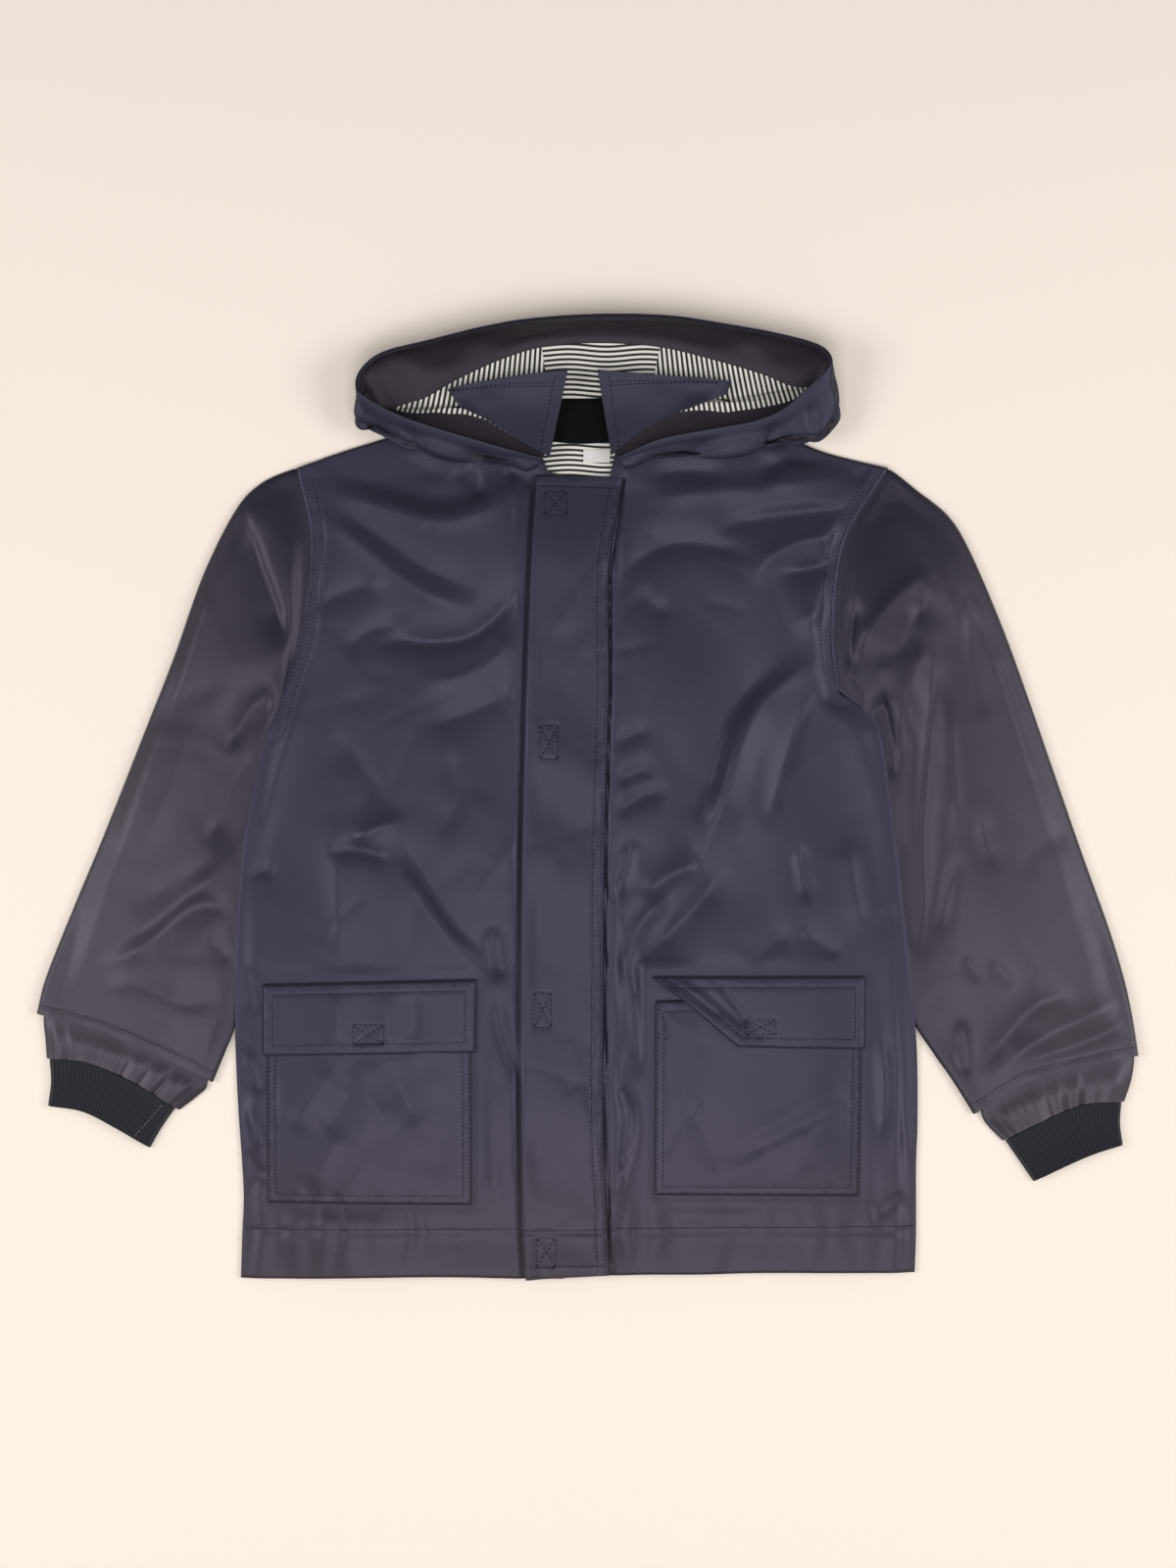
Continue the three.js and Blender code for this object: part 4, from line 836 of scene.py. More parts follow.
def rings(rows, count_along, top_count, low_count, inset, height):
    """Rings of a flattened tube through its sections. height gives the top from x, y, the distances to
    the outer and inner edge, the share across and the section's values."""
    made = []
    points = np.linspace(0, 1, SECTION_POINTS)
    for row in spline(rows, count_along):
        across = resampled(section(row), points)
        width = np.sum(np.linalg.norm(np.diff(across, axis=0), axis=1))
        edge, floor = row[8], (row[10] if len(row) > 10 else 0)

        def at(shares):
            return np.column_stack([np.interp(shares, points, across[:, k]) for k in (0, 1)])

        shoulder = (inset + 1.2) / width
        top = np.linspace(shoulder, 1 - shoulder, top_count + 1)
        plan = at(top)
        shares = np.linspace(0, 1, top_count + 1)
        tops = height(plan[:, 0], plan[:, 1], top * width, (1 - top) * width, shares, row)
        drop = min(inset, edge / 2 - 0.2)
        rounded = 0.5 * (1 - smooth(np.minimum(top, 1 - top) * width / 3))
        lower = np.linspace(1 - shoulder, shoulder, low_count + 1)
        middle = floor + (edge - floor) / 2
        sides = at(np.array([inset / width, 1 - inset / width]))
        made.append(np.vstack([
            [*sides[0], middle],
            np.column_stack([plan, tops - rounded - drop]),
            [*sides[1], middle],
            np.column_stack([at(lower), np.full(low_count + 1, floor + inset)]),
        ]))
    return np.array(made)


def tube_piece(node, rows, counts, thickness, heights, key, angle=50):
    """A sleeve piece. counts says how many rings it has and their points above and below; heights are
    the functions for the top of its outside and of its inside."""
    outer = rings(rows, *counts, 0.0, heights[0])
    inside = rings(rows, *counts, thickness, heights[1])
    declare(tube("cloth_" + node, outer, inside, material_for(key), angle), node)


def make_sleeves():
    look = bpy.context.scene.raincoat_look
    for node, rows, seed in (("sleeve_right", SLEEVE_RIGHT, 21), ("sleeve_left", SLEEVE_LEFT, 22)):
        inner = [tuple(p) for p in rows[:, 6:8]]
        hem, head = section(rows[-1]), section(rows[1])
        xs, ys = rows[:, 0:8:2], rows[:, 1:8:2]
        area = (xs.min(), xs.max(), ys.min(), ys.max())

        def height(x, y, outer, _, share, row):
            to_inner = to_outline(x, y, inner)
            near_edge = np.minimum(outer, to_inner)
            ramp = np.clip((to_inner - 2) / 46, 0, 1)
            rise = np.minimum(smooth(outer / 34 + 0.2), 1.25 * ramp - 0.25 * ramp ** 4)
            free = smooth((near_edge - 3) / 12) * smooth(to_outline(x, y, head) / 10)
            relief = 1.1 * folds(x, y, SLEEVE_FOLDS) * look.fold_strength
            relief = relief + creases(x, y, seed, 70, area, 0.4) + 1.5 * swell(x, y)
            relief = np.minimum(relief, 8 * smooth((to_inner - 4) / 30))
            groove = -0.5 * ridge(to_outline(x, y, hem) - SLEEVE_STITCH, 1.3)
            puckered = puckers(x, y, hem, 9, 0.4) * smooth(near_edge / 8)
            tops = row[8] + (row[9] - row[8]) * rise + relief * free + groove + puckered
            return np.maximum(tops, np.minimum(row[8], 3.0))

        tube_piece(node, rows, (150, 78, 14), SLEEVE_CLOTH, (height, height), "sleeve")


def make_sleeve_ends():
    for node, rows, phase in (("gathered_end_right", GATHERED_RIGHT, 0.3),
                              ("gathered_end_left", GATHERED_LEFT, 1.9)):
        def gathered(x, y, outer, to_inner, share, row):
            near_edge = np.minimum(outer, to_inner)
            turn = share * 9 + 0.9 * np.sin(share * 9 + phase)
            uneven = 0.85 + 0.35 * np.sin(share * 17 + phase)
            pleat = (np.abs(np.sin(turn * math.pi / 2)) ** 0.6 - 0.6) * uneven
            fine = 0.25 * np.sin(share * 71 + 3 * np.sin(share * 13 + phase))
            level = row[8] + (row[9] - row[8]) * smooth(near_edge / 14)
            return level + (3.2 * pleat + fine) * row[11] * smooth(near_edge / 7)

        tube_piece(node, rows, (30, 150, 12), END_CLOTH, (gathered, gathered), "sleeve")

    def ribbed(amount):
        def height(x, y, outer, to_inner, share, row):
            rise = smooth(np.minimum(outer, to_inner) / 14)
            wave = np.sin(share * RIBS * math.pi / 2) ** 2
            return row[8] + (row[9] - row[8]) * rise + amount * wave
        return height

    heights = ribbed(bpy.context.scene.raincoat_look.rib_height), ribbed(0.0)
    for node, rows in (("rib_cuff_right", RIB_RIGHT), ("rib_cuff_left", RIB_LEFT)):
        tube_piece(node, rows, (14, RIBS * 3, 12), END_CLOTH, heights, "rib", 60)


def make_placket():
    across = close_edges(44, 60)
    net = coons([[PLACKET_RIGHT[0], PLACKET_LEFT[0]]], [[PLACKET_RIGHT[-1], PLACKET_LEFT[-1]]],
                [PLACKET_RIGHT], [PLACKET_LEFT], across, close_edges(380, 575))
    x, y = net[..., 0], net[..., 1]
    width = np.linalg.norm(net[:, -1] - net[:, 0], axis=1)[:, None]
    free, joined = across[None] * width, (1 - across[None]) * width
    heights = front_top(x, y) + moats(x, y) + PLACKET_LIFT + 1.2 * (1 - smooth(free / 14))
    heights = heights - 0.5 * (1 - smooth(free / 2))
    heights = heights + stitched_edge(joined, (PLACKET_STITCH, TOPSTITCH), 0.5)
    for distance in (PLACKET_ENDS[1] - y, y - PLACKET_ENDS[0]):
        heights = heights + stitched_edge(distance, (PLACKET_END_STITCH,), 0.4)
    edge_wave = np.sin(y / 13 + 1.7 * np.sin(y / 41)) * (1 - smooth((joined - 4) / 14))
    wave = np.sin(y / 19 + 1.4 * np.sin(y / 47) + x / 26) * smooth(np.minimum(free, joined) / 12)
    heights = heights + 0.5 * edge_wave + 1.1 * wave
    heights = heights + creases(x, y, 5, 40, (-48, 18, -340, 230), 0.3) + edge_puckers(x, y, joined)
    for box in PLACKET_BOXES:
        heights = heights + grooves(x, y, crossed_box(*box))
    lay("placket", net, heights, PLACKET_CLOTH)


def make_pockets():
    for node, corners, seed in (("pocket_right", POCKET_RIGHT, 31), ("pocket_left", POCKET_LEFT, 32)):
        a, b, c, d = corners
        net = coons([[a, b]], [[d, c]], [[a, d]], [[b, c]], close_edges(100, 149), close_edges(102, 149))
        x, y = net[..., 0], net[..., 1]
        area = (a[0], b[0], a[1], c[1])
        relief = creases(x, y, seed, 22, area, 0.35) + 1.5 * folds(x, y, POCKET_FOLDS, 2.0)
        relief = relief + 0.25 * np.sin(x / 9 + 1.2 * np.sin(y / 40)) * smooth((y - a[1]) / 60)
        near = border(net)
        heights = front_top(x, y) + moats(x, y) + POCKET_LIFT + 1.0 * smooth(near / 25)
        heights = heights + relief * smooth(near / 12)
        heights = heights + stitched_edge(near, (POCKET_STITCH,), 0.3) + edge_puckers(x, y, near)
        lay(node, net, heights, LAID_CLOTH)


def edge_puckers(x, y, near):
    """Fine unevenness that stitching draws into an edge."""
    wave = np.sin(x / 1.9 + 2 * np.sin(y / 11)) * np.sin(y / 2.3 + 2 * np.sin(x / 13))
    return 0.16 * wave * ridge(near, 10)


def flap_heights(net, lift):
    """The height of a flap's top; lift raises the corner that is turned under."""
    x, y = net[..., 0], net[..., 1]
    near = border(net)
    heights = front_top(x, y) + moats(x, y) + FLAP_LIFT + 0.5 * smooth(near / 12)
    heights = heights + stitched_edge(near, (FLAP_STITCH,)) + edge_puckers(x, y, near)
    heights = heights + folds(x, y, POCKET_FOLDS) * smooth(near / 8)
    heights = heights + 0.15 * np.sin(x / 8 + 1.5 * np.sin(x / 27)) * smooth(near / 8)
    if lift:
        away = to_outline(x, y, [FLAP_LEFT[1][0], *FLAP_LEFT[0][:4]])
        heights = heights + lift * ridge(away, 13) * smooth((-126 - y) / 12)
        for line in FLAP_DENTS:
            heights = heights - 1.1 * ridge(to_line(x, y, *line), 3.2)
    return heights


def make_flaps():
    for node, flap, lift in (("pocket_flap_right", FLAP_RIGHT, 0), ("pocket_flap_left", FLAP_LEFT, 3.6)):
        bottom, top = flap
        sides = [[bottom[0], top[0]]], [[bottom[-1], top[-1]]]
        lower = [bottom[:4], bottom[3:]] if lift else [bottom]
        net = coons(lower, [top], *sides, close_edges(100, 150), close_edges(32, 50))
        pressed = grooves(net[..., 0], net[..., 1], crossed_box(*FLAP_BOXES[node]))
        lay(node, net, flap_heights(net, lift) + pressed, LAID_CLOTH)


# The hood, a double shell either side of one middle surface
def hood_surface(stations, shares):
    """Points of the middle surface for station numbers and shares of the way from the neck to the rim."""
    count = STATION_STEPS * (len(HOOD) - 1) + 1
    dense = spline(HOOD, count)
    index = np.asarray(stations) * STATION_STEPS
    places = np.asarray(shares) * (LINE_POINTS - 1)
    rows = np.column_stack([np.interp(index, np.arange(count), dense[:, k]) for k in range(12)])
    made = []
    for row in rows:
        line = spline(row.reshape(4, 3), LINE_POINTS)
        numbers = np.arange(LINE_POINTS)
        made.append(np.column_stack([np.interp(places, numbers, line[:, k]) for k in range(3)]))
        made[-1][:, 2] = np.maximum(made[-1][:, 2], row[2])
    return np.array(made)


def hood_net(stations, shares):
    """The middle surface and its direction away from the bowl."""
    stations, shares = np.asarray(stations), np.asarray(shares)
    last = len(HOOD) - 1
    near = np.clip(shares, 0.06, 0.94)
    ahead, behind = np.minimum(stations + 0.4, last), np.maximum(stations - 0.4, 0)
    along = hood_surface(ahead, near) - hood_surface(behind, near)
    across = hood_surface(stations, near + 0.05) - hood_surface(stations, near - 0.05)
    normal = np.cross(across, along)
    normal /= np.linalg.norm(normal, axis=2)[..., None] + 1e-9
    return hood_surface(stations, shares), normal


def hood_relief(stations, shares):
    """Soft folds of the hood's side, measured along its outward direction."""
    s, a = np.meshgrid(stations, shares, indexing="ij")
    ripple = 2.2 * np.sin(s * 2.7 + 1.1 * np.sin(s * 1.3)) * ridge(a - 0.66, 0.2)
    creased = np.zeros(a.shape)
    for station, lean, width, depth in HOOD_CREASES:
        creased = creased - 1.7 * depth * np.exp(-np.abs(s - station - lean * (a - 0.6)) / width)
    for place, width, depth, first, last in HOOD_FOLDS:
        along = smooth(s - first) * smooth(last - s)
        creased = creased - depth * along * ridge(a - place - 0.04 * np.sin(1.9 * s), width)
    outside = smooth((a - 0.4) / 0.2) * (1 - smooth((a - 0.85) / 0.1))
    stitched = -0.5 * ridge(a - 0.9, 0.02)
    return (ripple + creased * smooth((a - 0.35) / 0.2)) * outside + stitched


def facing_edge(stations):
    """The share of the way from the neck to the rim where the facing starts: at the seam by the throat."""
    from_throat = np.minimum(stations, len(HOOD) - 1 - stations)
    return THROAT_EDGE + (FACING_EDGE - THROAT_EDGE) * smooth((from_throat - 1.9) / 1.1)


def hood_panel(node, start, end, low, high, depths, key, rows, columns):
    """A panel between two stations. low and high give its shares at each station, depths its outer and
    inner distance from the middle surface."""
    stations = np.linspace(start, end, rows)
    steps = np.linspace(0, 1, columns)
    middle, normal = [], []
    for station, one, two in zip(stations, low(stations), high(stations)):
        shares = one + (two - one) * steps
        points, outward = hood_net([station], shares)
        middle.append(points[0] + hood_relief([station], shares)[0][:, None] * outward[0])
        normal.append(outward[0])
    middle, normal = np.array(middle), np.array(normal)
    outer, inner = middle + normal * depths[0], middle + normal * depths[1]
    for net in (outer, inner):
        net[..., 2] = np.maximum(net[..., 2], 0.3)
    if key == "hood":
        outer[..., 2] = np.maximum(outer[..., 2], inner[..., 2])
    declare(shell("cloth_" + node, outer, inner, material_for(key), 50), node)


def make_hood():
    last = len(HOOD) - 1
    one, two = CENTRE_SEAMS
    outside, inside = (0.25, 1.4), (-0.25, -1.25)
    for side, start, end, rows, panel, stripes in (
        ("right", 0, one - SEAM_GAP, 180, "hood_side_right", "stripes"),
        ("centre", one + SEAM_GAP, two - SEAM_GAP, 40, "hood_centre", "cross_stripes"),
        ("left", two + SEAM_GAP, last, 180, "hood_side_left", "stripes"),
    ):
        hood_panel(panel, start, end, np.zeros_like, np.ones_like, outside, "hood", rows, 44)
        hood_panel("hood_lining_" + side, start, end, np.zeros_like, lambda s: facing_edge(s) - FACING_GAP,
                   inside, stripes, rows, 14)
    hood_panel("hood_facing", 0, last, lambda s: facing_edge(s) + FACING_GAP, np.ones_like, inside,
               "facing", 380, 28)


def make_collar():
    dense = spline(COLLAR, COLLAR_RINGS)
    base, edge = dense[:, :3], dense[:, 3:]
    shares = np.linspace(0, 1, 19)[None, :, None]
    middle = base[:, None] * (1 - shares) + edge[:, None] * shares
    along = np.gradient(middle, axis=0)
    across = np.broadcast_to((edge - base)[:, None], middle.shape)
    normal = np.cross(along, across)
    normal /= np.linalg.norm(normal, axis=2)[..., None] + 1e-9
    reach = np.linalg.norm(edge - base, axis=1)[:, None] * (1 - shares[..., 0])
    number = np.arange(COLLAR_RINGS)[:, None]
    from_end = np.minimum(number, COLLAR_RINGS - 1 - number)
    rows = (COLLAR_STITCH,)
    relief = stitched_edge(reach, rows, 0.35) + stitched_edge(from_end * 2.6, rows, 0.35)
    wing = 1 - smooth((from_end - 26) / 14)
    height = 1.6 + 1.1 * np.sin(number / 4.5) * np.sin(3 * shares[..., 0])
    body = wing * np.sin(math.pi * shares[..., 0]) * height
    middle = middle + normal * body[..., None]
    inner = middle - normal * COLLAR_HALF
    outer = middle + normal * (COLLAR_HALF + np.minimum(relief, 0.0) * 0.8)[..., None]
    obj = shell("cloth_collar", outer, inner, material_for("hood"), 50)
    # faces below that height take the near-black colour: the collar's dark inside and painted shade
    obj.data.materials.append(material_for("inner"))
    for face in obj.data.polygons:
        if face.center.z < DARK_AND_SHADED_BELOW * MM:
            face.material_index = 1
    declare(obj, "collar")


def make_neck():
    for node, (x1, x2, y1, y2), top, thickness, key in (
        ("neck_lining", (-32, 22, 222, 271), 2.5, 1.0, "cross_stripes"),
        ("neck_label", (-3, 16, 241, 250), 3.5, 0.5, "label"),
    ):
        a, b, c, d = (x1, y1), (x2, y1), (x2, y2), (x1, y2)
        steps = np.linspace(0, 1, 21)
        net = coons([[a, b]], [[d, c]], [[a, d]], [[b, c]], steps, steps)
        lay(node, net, np.full(net.shape[:2], top), thickness, key)


# Stitching
def grooves(x, y, runs, depth=0.4, width=1.0):
    """What the stitching presses into the cloth along its runs."""
    pressed = np.zeros(x.shape)
    for run in runs:
        pressed = np.minimum(pressed, -depth * ridge(to_outline(x, y, run), width))
    return pressed


def stitch_shape():
    """One stitch modelled from a primitive, as its points along X and its faces."""
    bpy.ops.object.select_all(action="DESELECT")
    bpy.ops.mesh.primitive_uv_sphere_add(segments=6, ring_count=4, radius=0.5, location=(0, 0, 0))
    obj = bpy.context.object
    mesh = obj.data
    points = np.array([v.co[:] for v in mesh.vertices])[:, [2, 0, 1]]
    faces = [tuple(p.vertices) for p in mesh.polygons]
    bpy.data.objects.remove(obj)
    return points, faces


def sew(name, runs, height, key="thread"):
    """Stitches along runs of points in plan, each laid on the height that the function gives."""
    look = bpy.context.scene.raincoat_look
    shape, faces = stitch_shape()
    length, thick = look.stitch_length / MM, look.stitch_width / MM
    local = shape * (STITCH_SHARE * length, thick, thick * STITCH_FLAT)
    vertices, joined = [], []
    for run in runs:
        p = np.asarray(run, float)
        gone = np.concatenate([[0], np.cumsum(np.linalg.norm(np.diff(p, axis=0), axis=1))])
        count = max(1, int(gone[-1] / length))
        middles = (np.arange(count) + 0.5) * gone[-1] / count
        at, ahead, behind = [
            np.column_stack([np.interp(passed, gone, p[:, k]) for k in (0, 1)])
            for passed in (middles, np.minimum(middles + 1, gone[-1]), np.maximum(middles - 1, 0))
        ]
        turn = ahead - behind
        turn = turn / (np.linalg.norm(turn, axis=1)[:, None] + 1e-9)
        levels, higher, lower = [height(*place.T) for place in (at, ahead, behind)]
        for (x, y), (tx, ty), z, dz in zip(at, turn, levels, higher - lower):
            start = len(vertices) * len(shape)
            vertices.append(np.column_stack([
                x + local[:, 0] * tx - local[:, 1] * ty,
                y + local[:, 0] * ty + local[:, 1] * tx,
                z + local[:, 0] * float(dz) / 2 + local[:, 2],
            ]))
            joined.extend(tuple(i + start for i in face) for face in faces)
    mesh = bpy.data.meshes.new(name)
    mesh.from_pydata((np.vstack(vertices) * MM).tolist(), [], joined)
    mesh.materials.append(material_for(key))
    mesh.update()
    obj = bpy.data.objects.new(name, mesh)
    bpy.context.scene.collection.objects.link(obj)
    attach(obj, "root")


def surface_of(node):
    """A function that gives the height of a cloth piece's top at points in plan."""
    mesh = PIECES[node].data
    faces = [tuple(p.vertices) for p in mesh.polygons]
    tree = BVHTree.FromPolygons([v.co[:] for v in mesh.vertices], faces)
    above, missed = 0.1, -50.0

    def height(x, y):
        made = []
        for px, py in zip(x, y):
            hit = tree.ray_cast((px * MM, py * MM, above), (0, 0, -1))[0]
            made.append(hit.z / MM if hit else missed)
        made = np.array(made)
        if (made < 0).any() and (made > 0).any():
            made[made < 0] = np.median(made[made > 0])
        return made
    return height


def inset_run(points, distance, side):
    """An outline moved in its own plane to one side of its direction."""
    dense = resampled([points], np.linspace(0, 1, 120))
    direction = np.gradient(dense, axis=0)
    direction /= np.linalg.norm(direction, axis=1)[:, None]
    return dense + side * distance * np.column_stack([-direction[:, 1], direction[:, 0]])


def rectangle(corners, inset, sides):
    """Chosen sides of a four-cornered outline moved inwards: 0 bottom, 1 right, 2 top, 3 left."""
    p = np.asarray(corners, float)
    middle = p.mean(axis=0)
    lines = []
    for k in sides:
        a, b = p[k], p[(k + 1) % 4]
        d = (b - a) / np.linalg.norm(b - a)
        n = np.array([-d[1], d[0]])
        n = n if np.dot(middle - a, n) > 0 else -n
        lines.append([a + n * inset + d * inset, b + n * inset - d * inset])
    return lines


def crossed_box(x1, x2, y1, y2):
    """A stitched box with both diagonals."""
    a, b, c, d = (x1, y1), (x2, y1), (x2, y2), (x1, y2)
    return [[a, b], [b, c], [c, d], [d, a], [a, c], [b, d]]


def make_stitches():
    rows = [inset_run(PLACKET_LEFT, distance, 1)[2:-2] for distance in (PLACKET_STITCH, TOPSTITCH)]
    rows += [[(-34, 224), (22, 222)], [(-42, -334), (12, -332)]]
    for box in PLACKET_BOXES:
        rows.extend(crossed_box(*box))
    sew("stitches_placket", rows, surface_of("placket"))

    left_bar = [[(49, -170), (58, -170)], [(50, -144), (58, -144)], [(50, -144), (58, -170)]]
    for node, corners, bar in (("pocket_right", POCKET_RIGHT, []), ("pocket_left", POCKET_LEFT, left_bar)):
        edge, inside = [rectangle(corners, inset, (0, 1, 3)) for inset in (POCKET_EDGE_STITCH, POCKET_STITCH)]
        sew("stitches_" + node, edge + inside + bar, surface_of(node))

    bottom, top = FLAP_RIGHT
    right = rectangle([*bottom, top[1], top[0]], FLAP_STITCH, (0, 1, 2, 3))
    left = [[(58, -133.5), (190.5, -133.5)], [(190.5, -133.5), (190.5, -170.5)],
            [(190.5, -170.5), (110, -169)], [(110, -169), (92, -153), (72, -137), (66, -134)]]
    for node, runs in (("pocket_flap_right", right), ("pocket_flap_left", left)):
        sew("stitches_" + node, runs + crossed_box(*FLAP_BOXES[node]), surface_of(node))

    for node, armhole, side, hem in (
        ("front_right", ARMHOLE_RIGHT, -1, [(-245, -306.5), (-50, -306)]),
        ("front_left", ARMHOLE_LEFT, 1, [(20, -305.5), (233, -304.5)]),
    ):
        near, far = inset_run(armhole, ARMHOLE_STITCH, side), inset_run(armhole, TOPSTITCH, side)
        sew("stitches_" + node, [near[3:-3], far[6:-6], hem], surface_of(node))

    sew("stitches_rib_cuff_right", [CUFF_SEAM], surface_of("rib_cuff_right"), "pale_thread")

    base, edge = spline(COLLAR[:, :2], COLLAR_RINGS), spline(COLLAR[:, 3:5], COLLAR_RINGS)
    runs = [base[part] + share * (edge[part] - base[part])
            for part in (slice(3, 38), slice(142, 178)) for share in (0.86, 0.81)]
    runs += [[base[k], edge[k] * 0.95 + base[k] * 0.05] for k in (3, 177)]
    sew("stitches_collar", runs, surface_of("collar"))

    for node, rows, side in (("sleeve_right", SLEEVE_RIGHT, 1), ("sleeve_left", SLEEVE_LEFT, -1)):
        sew("stitches_" + node, [inset_run(section(rows[-1]), SLEEVE_STITCH, side)[2:-2]], surface_of(node))


class RaincoatLook(bpy.types.PropertyGroup):
    """The sizes and colours that a user would change."""

    puff: bpy.props.FloatProperty(
        name="Puff", description="How far the body rises, in millimetres", default=6.0, min=0, max=8)
    fold_strength: bpy.props.FloatProperty(
        name="Fold strength", description="Height of the folds against the tables", default=1.0, min=0, max=2)
    rib_height: bpy.props.FloatProperty(
        name="Rib height", description="Height of the knit ribs, in millimetres", default=1.4, min=0, max=2)
    stitch_length: bpy.props.FloatProperty(
        name="Stitch length", description="Length of one stitch",
        default=0.0032, min=0.001, unit="LENGTH")
    stitch_width: bpy.props.FloatProperty(
        name="Stitch width", description="Thickness of the thread",
        default=0.0007, min=0.0001, unit="LENGTH")
    stripe_period: bpy.props.FloatProperty(
        name="Stripe period", description="Distance from stripe to stripe",
        default=0.0036, min=0.001, unit="LENGTH")
    shell: bpy.props.FloatVectorProperty(
        name="Shell", description="Colour of the coated cloth",
        default=(0.027, 0.024, 0.042), subtype="COLOR", min=0, max=1)
    sleeve: bpy.props.FloatVectorProperty(
        name="Sleeves", description="Colour of the sleeves",
        default=(0.050, 0.044, 0.057), subtype="COLOR", min=0, max=1)
    hood: bpy.props.FloatVectorProperty(
        name="Hood", description="Colour of the hood's outside and the collar",
        default=(0.022, 0.020, 0.035), subtype="COLOR", min=0, max=1)
    facing: bpy.props.FloatVectorProperty(
        name="Facing", description="Colour of the hood's facing",
        default=(0.022, 0.018, 0.025), subtype="COLOR", min=0, max=1)
    # near black: the collar's dark inside with painted shade
    inner: bpy.props.FloatVectorProperty(
        name="Collar back", description="Colour inside the collar",
        default=(0.004, 0.004, 0.005), subtype="COLOR", min=0, max=1)
    rib: bpy.props.FloatVectorProperty(
        name="Rib knit", description="Colour of the cuffs",
        default=(0.021, 0.020, 0.030), subtype="COLOR", min=0, max=1)
    # near black: dark thread with painted shade between the stitches
    thread: bpy.props.FloatVectorProperty(
        name="Thread", description="Colour of the stitching",
        default=(0.004, 0.004, 0.007), subtype="COLOR", min=0, max=1)
    pale_thread: bpy.props.FloatVectorProperty(
        name="Pale thread", description="Colour of the cuff seam's thread",
        default=(0.14, 0.19, 0.23), subtype="COLOR", min=0, max=1)
    label: bpy.props.FloatVectorProperty(
        name="Label", description="Colour of the bare neck label",
        default=(0.72, 0.71, 0.70), subtype="COLOR", min=0, max=1)
    light_stripe: bpy.props.FloatVectorProperty(
        name="Light stripe", description="Light stripe of the lining",
        default=(0.80, 0.78, 0.72), subtype="COLOR", min=0, max=1)
    dark_stripe: bpy.props.FloatVectorProperty(
        name="Dark stripe", description="Dark stripe of the lining",
        default=(0.013, 0.012, 0.016), subtype="COLOR", min=0, max=1)
    floor: bpy.props.FloatVectorProperty(
        name="Floor", description="Colour of the floor",
        default=(0.96, 0.88, 0.78), subtype="COLOR", min=0, max=1)


def make_stage():
    scene = bpy.context.scene
    scene.view_settings.view_transform = "Standard"
    bpy.ops.object.select_all(action="DESELECT")
    bpy.ops.mesh.primitive_plane_add(size=FLOOR_SIZE, location=(0, 0, FLOOR_LEVEL))
    floor = bpy.context.object
    floor.name = "Floor"
    floor.data.materials.append(plain("floor_paper", scene.raincoat_look.floor, 0.9))
    scene.world = bpy.data.worlds.new("studio")
    scene.world.use_nodes = True
    background = scene.world.node_tree.nodes["Background"]
    background.inputs["Color"].default_value = SKY_COLOUR
    background.inputs["Strength"].default_value = SKY_STRENGTH
    for name, place, size in LIGHTS:
        light = bpy.data.lights.new(name, "AREA")
        light.size = size
        light.energy = LIGHT_POWER
        light.color = LIGHT_COLOUR
        lamp = bpy.data.objects.new(name, light)
        scene.collection.objects.link(lamp)
        lamp.location = place
        away = np.array(place) / np.linalg.norm(place)
        lamp.rotation_euler = (math.acos(away[2]), 0, math.atan2(away[0], -away[1]))
    camera = bpy.data.cameras.new("camera")
    camera.sensor_fit = "HORIZONTAL"
    camera.lens = camera.sensor_width * CAMERA_DISTANCE / PICTURE_WIDTH
    eye = bpy.data.objects.new("camera", camera)
    scene.collection.objects.link(eye)
    eye.location = CAMERA_PLACE
    eye.rotation_euler = (0, 0, 0)
    scene.camera = eye


class RAINCOAT_OT_stage(bpy.types.Operator):
    """Adds the floor, the lights and the camera."""

    bl_idname = "raincoat.stage"
    bl_label = "Stage"
    bl_options = {"REGISTER", "UNDO"}

    def execute(self, context):
        make_stage()
        return {"FINISHED"}


class RAINCOAT_OT_back(bpy.types.Operator):
    """Lays out the back."""

    bl_idname = "raincoat.back"
    bl_label = "Back"
    bl_options = {"REGISTER", "UNDO"}

    def execute(self, context):
        make_back()
        return {"FINISHED"}


class RAINCOAT_OT_fronts(bpy.types.Operator):
    """Lays out both fronts with their folds."""

    bl_idname = "raincoat.fronts"
    bl_label = "Fronts"
    bl_options = {"REGISTER", "UNDO"}

    def execute(self, context):
        make_fronts()
        return {"FINISHED"}


class RAINCOAT_OT_sleeves(bpy.types.Operator):
    """Lays out both sleeves."""

    bl_idname = "raincoat.sleeves"
    bl_label = "Sleeves"
    bl_options = {"REGISTER", "UNDO"}

    def execute(self, context):
        make_sleeves()
        return {"FINISHED"}


class RAINCOAT_OT_ends(bpy.types.Operator):
    """Makes the gathered ends and the rib cuffs."""

    bl_idname = "raincoat.ends"
    bl_label = "Sleeve ends"
    bl_options = {"REGISTER", "UNDO"}

    def execute(self, context):
        make_sleeve_ends()
        return {"FINISHED"}


class RAINCOAT_OT_placket(bpy.types.Operator):
    """Lays the placket over the front opening."""

    bl_idname = "raincoat.placket"
    bl_label = "Placket"
    bl_options = {"REGISTER", "UNDO"}

    def execute(self, context):
        make_placket()
        return {"FINISHED"}


class RAINCOAT_OT_pockets(bpy.types.Operator):
    """Lays the patch pockets on the fronts."""

    bl_idname = "raincoat.pockets"
    bl_label = "Pockets"
    bl_options = {"REGISTER", "UNDO"}

    def execute(self, context):
        make_pockets()
        return {"FINISHED"}


class RAINCOAT_OT_flaps(bpy.types.Operator):
    """Lays the flaps over the pockets."""

    bl_idname = "raincoat.flaps"
    bl_label = "Flaps"
    bl_options = {"REGISTER", "UNDO"}

    def execute(self, context):
        make_flaps()
        return {"FINISHED"}


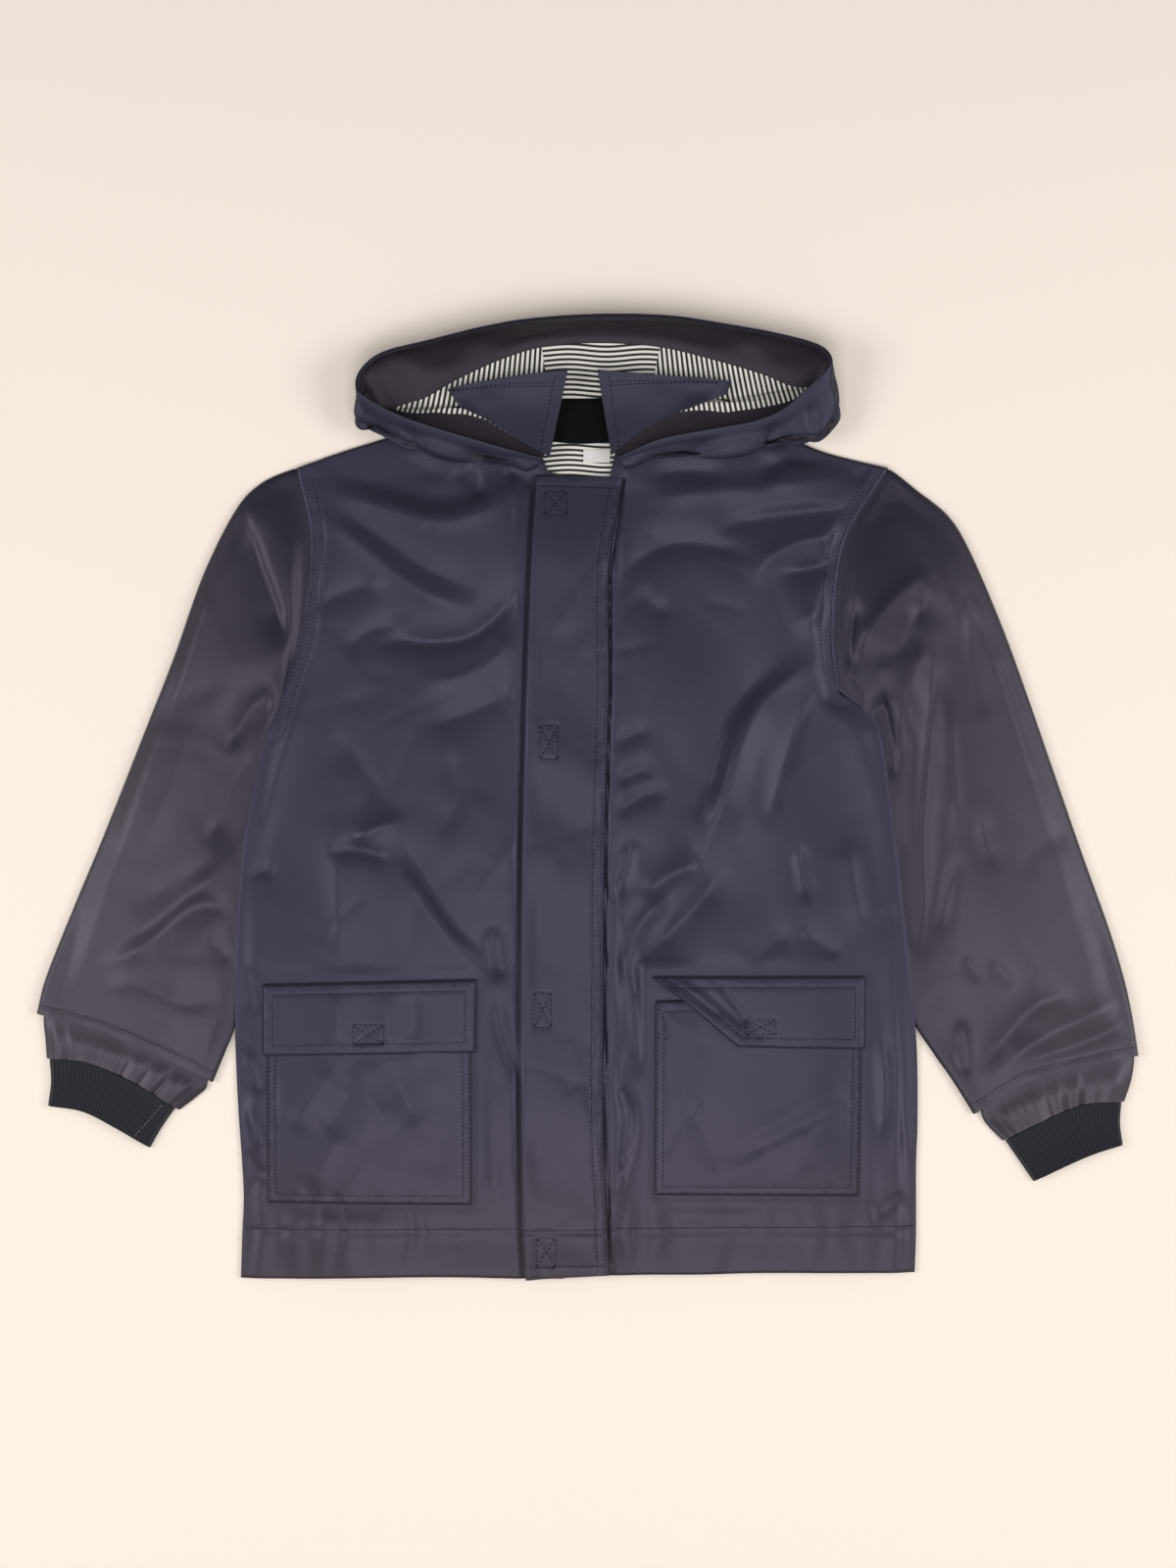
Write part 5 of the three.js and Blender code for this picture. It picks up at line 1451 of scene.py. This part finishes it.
class RAINCOAT_OT_hood(bpy.types.Operator):
    """Makes the hood with its facing and lining."""

    bl_idname = "raincoat.hood"
    bl_label = "Hood"
    bl_options = {"REGISTER", "UNDO"}

    def execute(self, context):
        make_hood()
        return {"FINISHED"}


class RAINCOAT_OT_collar(bpy.types.Operator):
    """Makes the stand collar."""

    bl_idname = "raincoat.collar"
    bl_label = "Collar"
    bl_options = {"REGISTER", "UNDO"}

    def execute(self, context):
        make_collar()
        return {"FINISHED"}


class RAINCOAT_OT_neck(bpy.types.Operator):
    """Makes the lining and the bare label at the neck."""

    bl_idname = "raincoat.neck"
    bl_label = "Neck"
    bl_options = {"REGISTER", "UNDO"}

    def execute(self, context):
        make_neck()
        return {"FINISHED"}


class RAINCOAT_OT_stitches(bpy.types.Operator):
    """Sews the topstitching."""

    bl_idname = "raincoat.stitches"
    bl_label = "Stitches"
    bl_options = {"REGISTER", "UNDO"}

    def execute(self, context):
        make_stitches()
        return {"FINISHED"}


OPERATORS = (
    RAINCOAT_OT_stage, RAINCOAT_OT_back, RAINCOAT_OT_fronts, RAINCOAT_OT_sleeves,
    RAINCOAT_OT_ends, RAINCOAT_OT_placket, RAINCOAT_OT_pockets, RAINCOAT_OT_flaps,
    RAINCOAT_OT_hood, RAINCOAT_OT_collar, RAINCOAT_OT_neck, RAINCOAT_OT_stitches,
)


class RAINCOAT_PT_panel(bpy.types.Panel):
    """The raincoat's operators and look."""

    bl_label = "Raincoat"
    bl_idname = "RAINCOAT_PT_panel"
    bl_space_type = "VIEW_3D"
    bl_region_type = "UI"
    bl_category = "Raincoat"

    def draw(self, context):
        for made in OPERATORS:
            self.layout.operator(made.bl_idname)
        for name in RaincoatLook.__annotations__:
            self.layout.prop(context.scene.raincoat_look, name)


def register():
    bpy.utils.register_class(RaincoatLook)
    for made in OPERATORS:
        bpy.utils.register_class(made)
    bpy.utils.register_class(RAINCOAT_PT_panel)
    bpy.types.Scene.raincoat_look = bpy.props.PointerProperty(type=RaincoatLook)


def unregister():
    del bpy.types.Scene.raincoat_look
    bpy.utils.unregister_class(RAINCOAT_PT_panel)
    for made in reversed(OPERATORS):
        bpy.utils.unregister_class(made)
    bpy.utils.unregister_class(RaincoatLook)


def main():
    register()
    for made in OPERATORS:
        group, name = made.bl_idname.split(".")
        getattr(getattr(bpy.ops, group), name)()


if __name__ == "__main__":
    main()
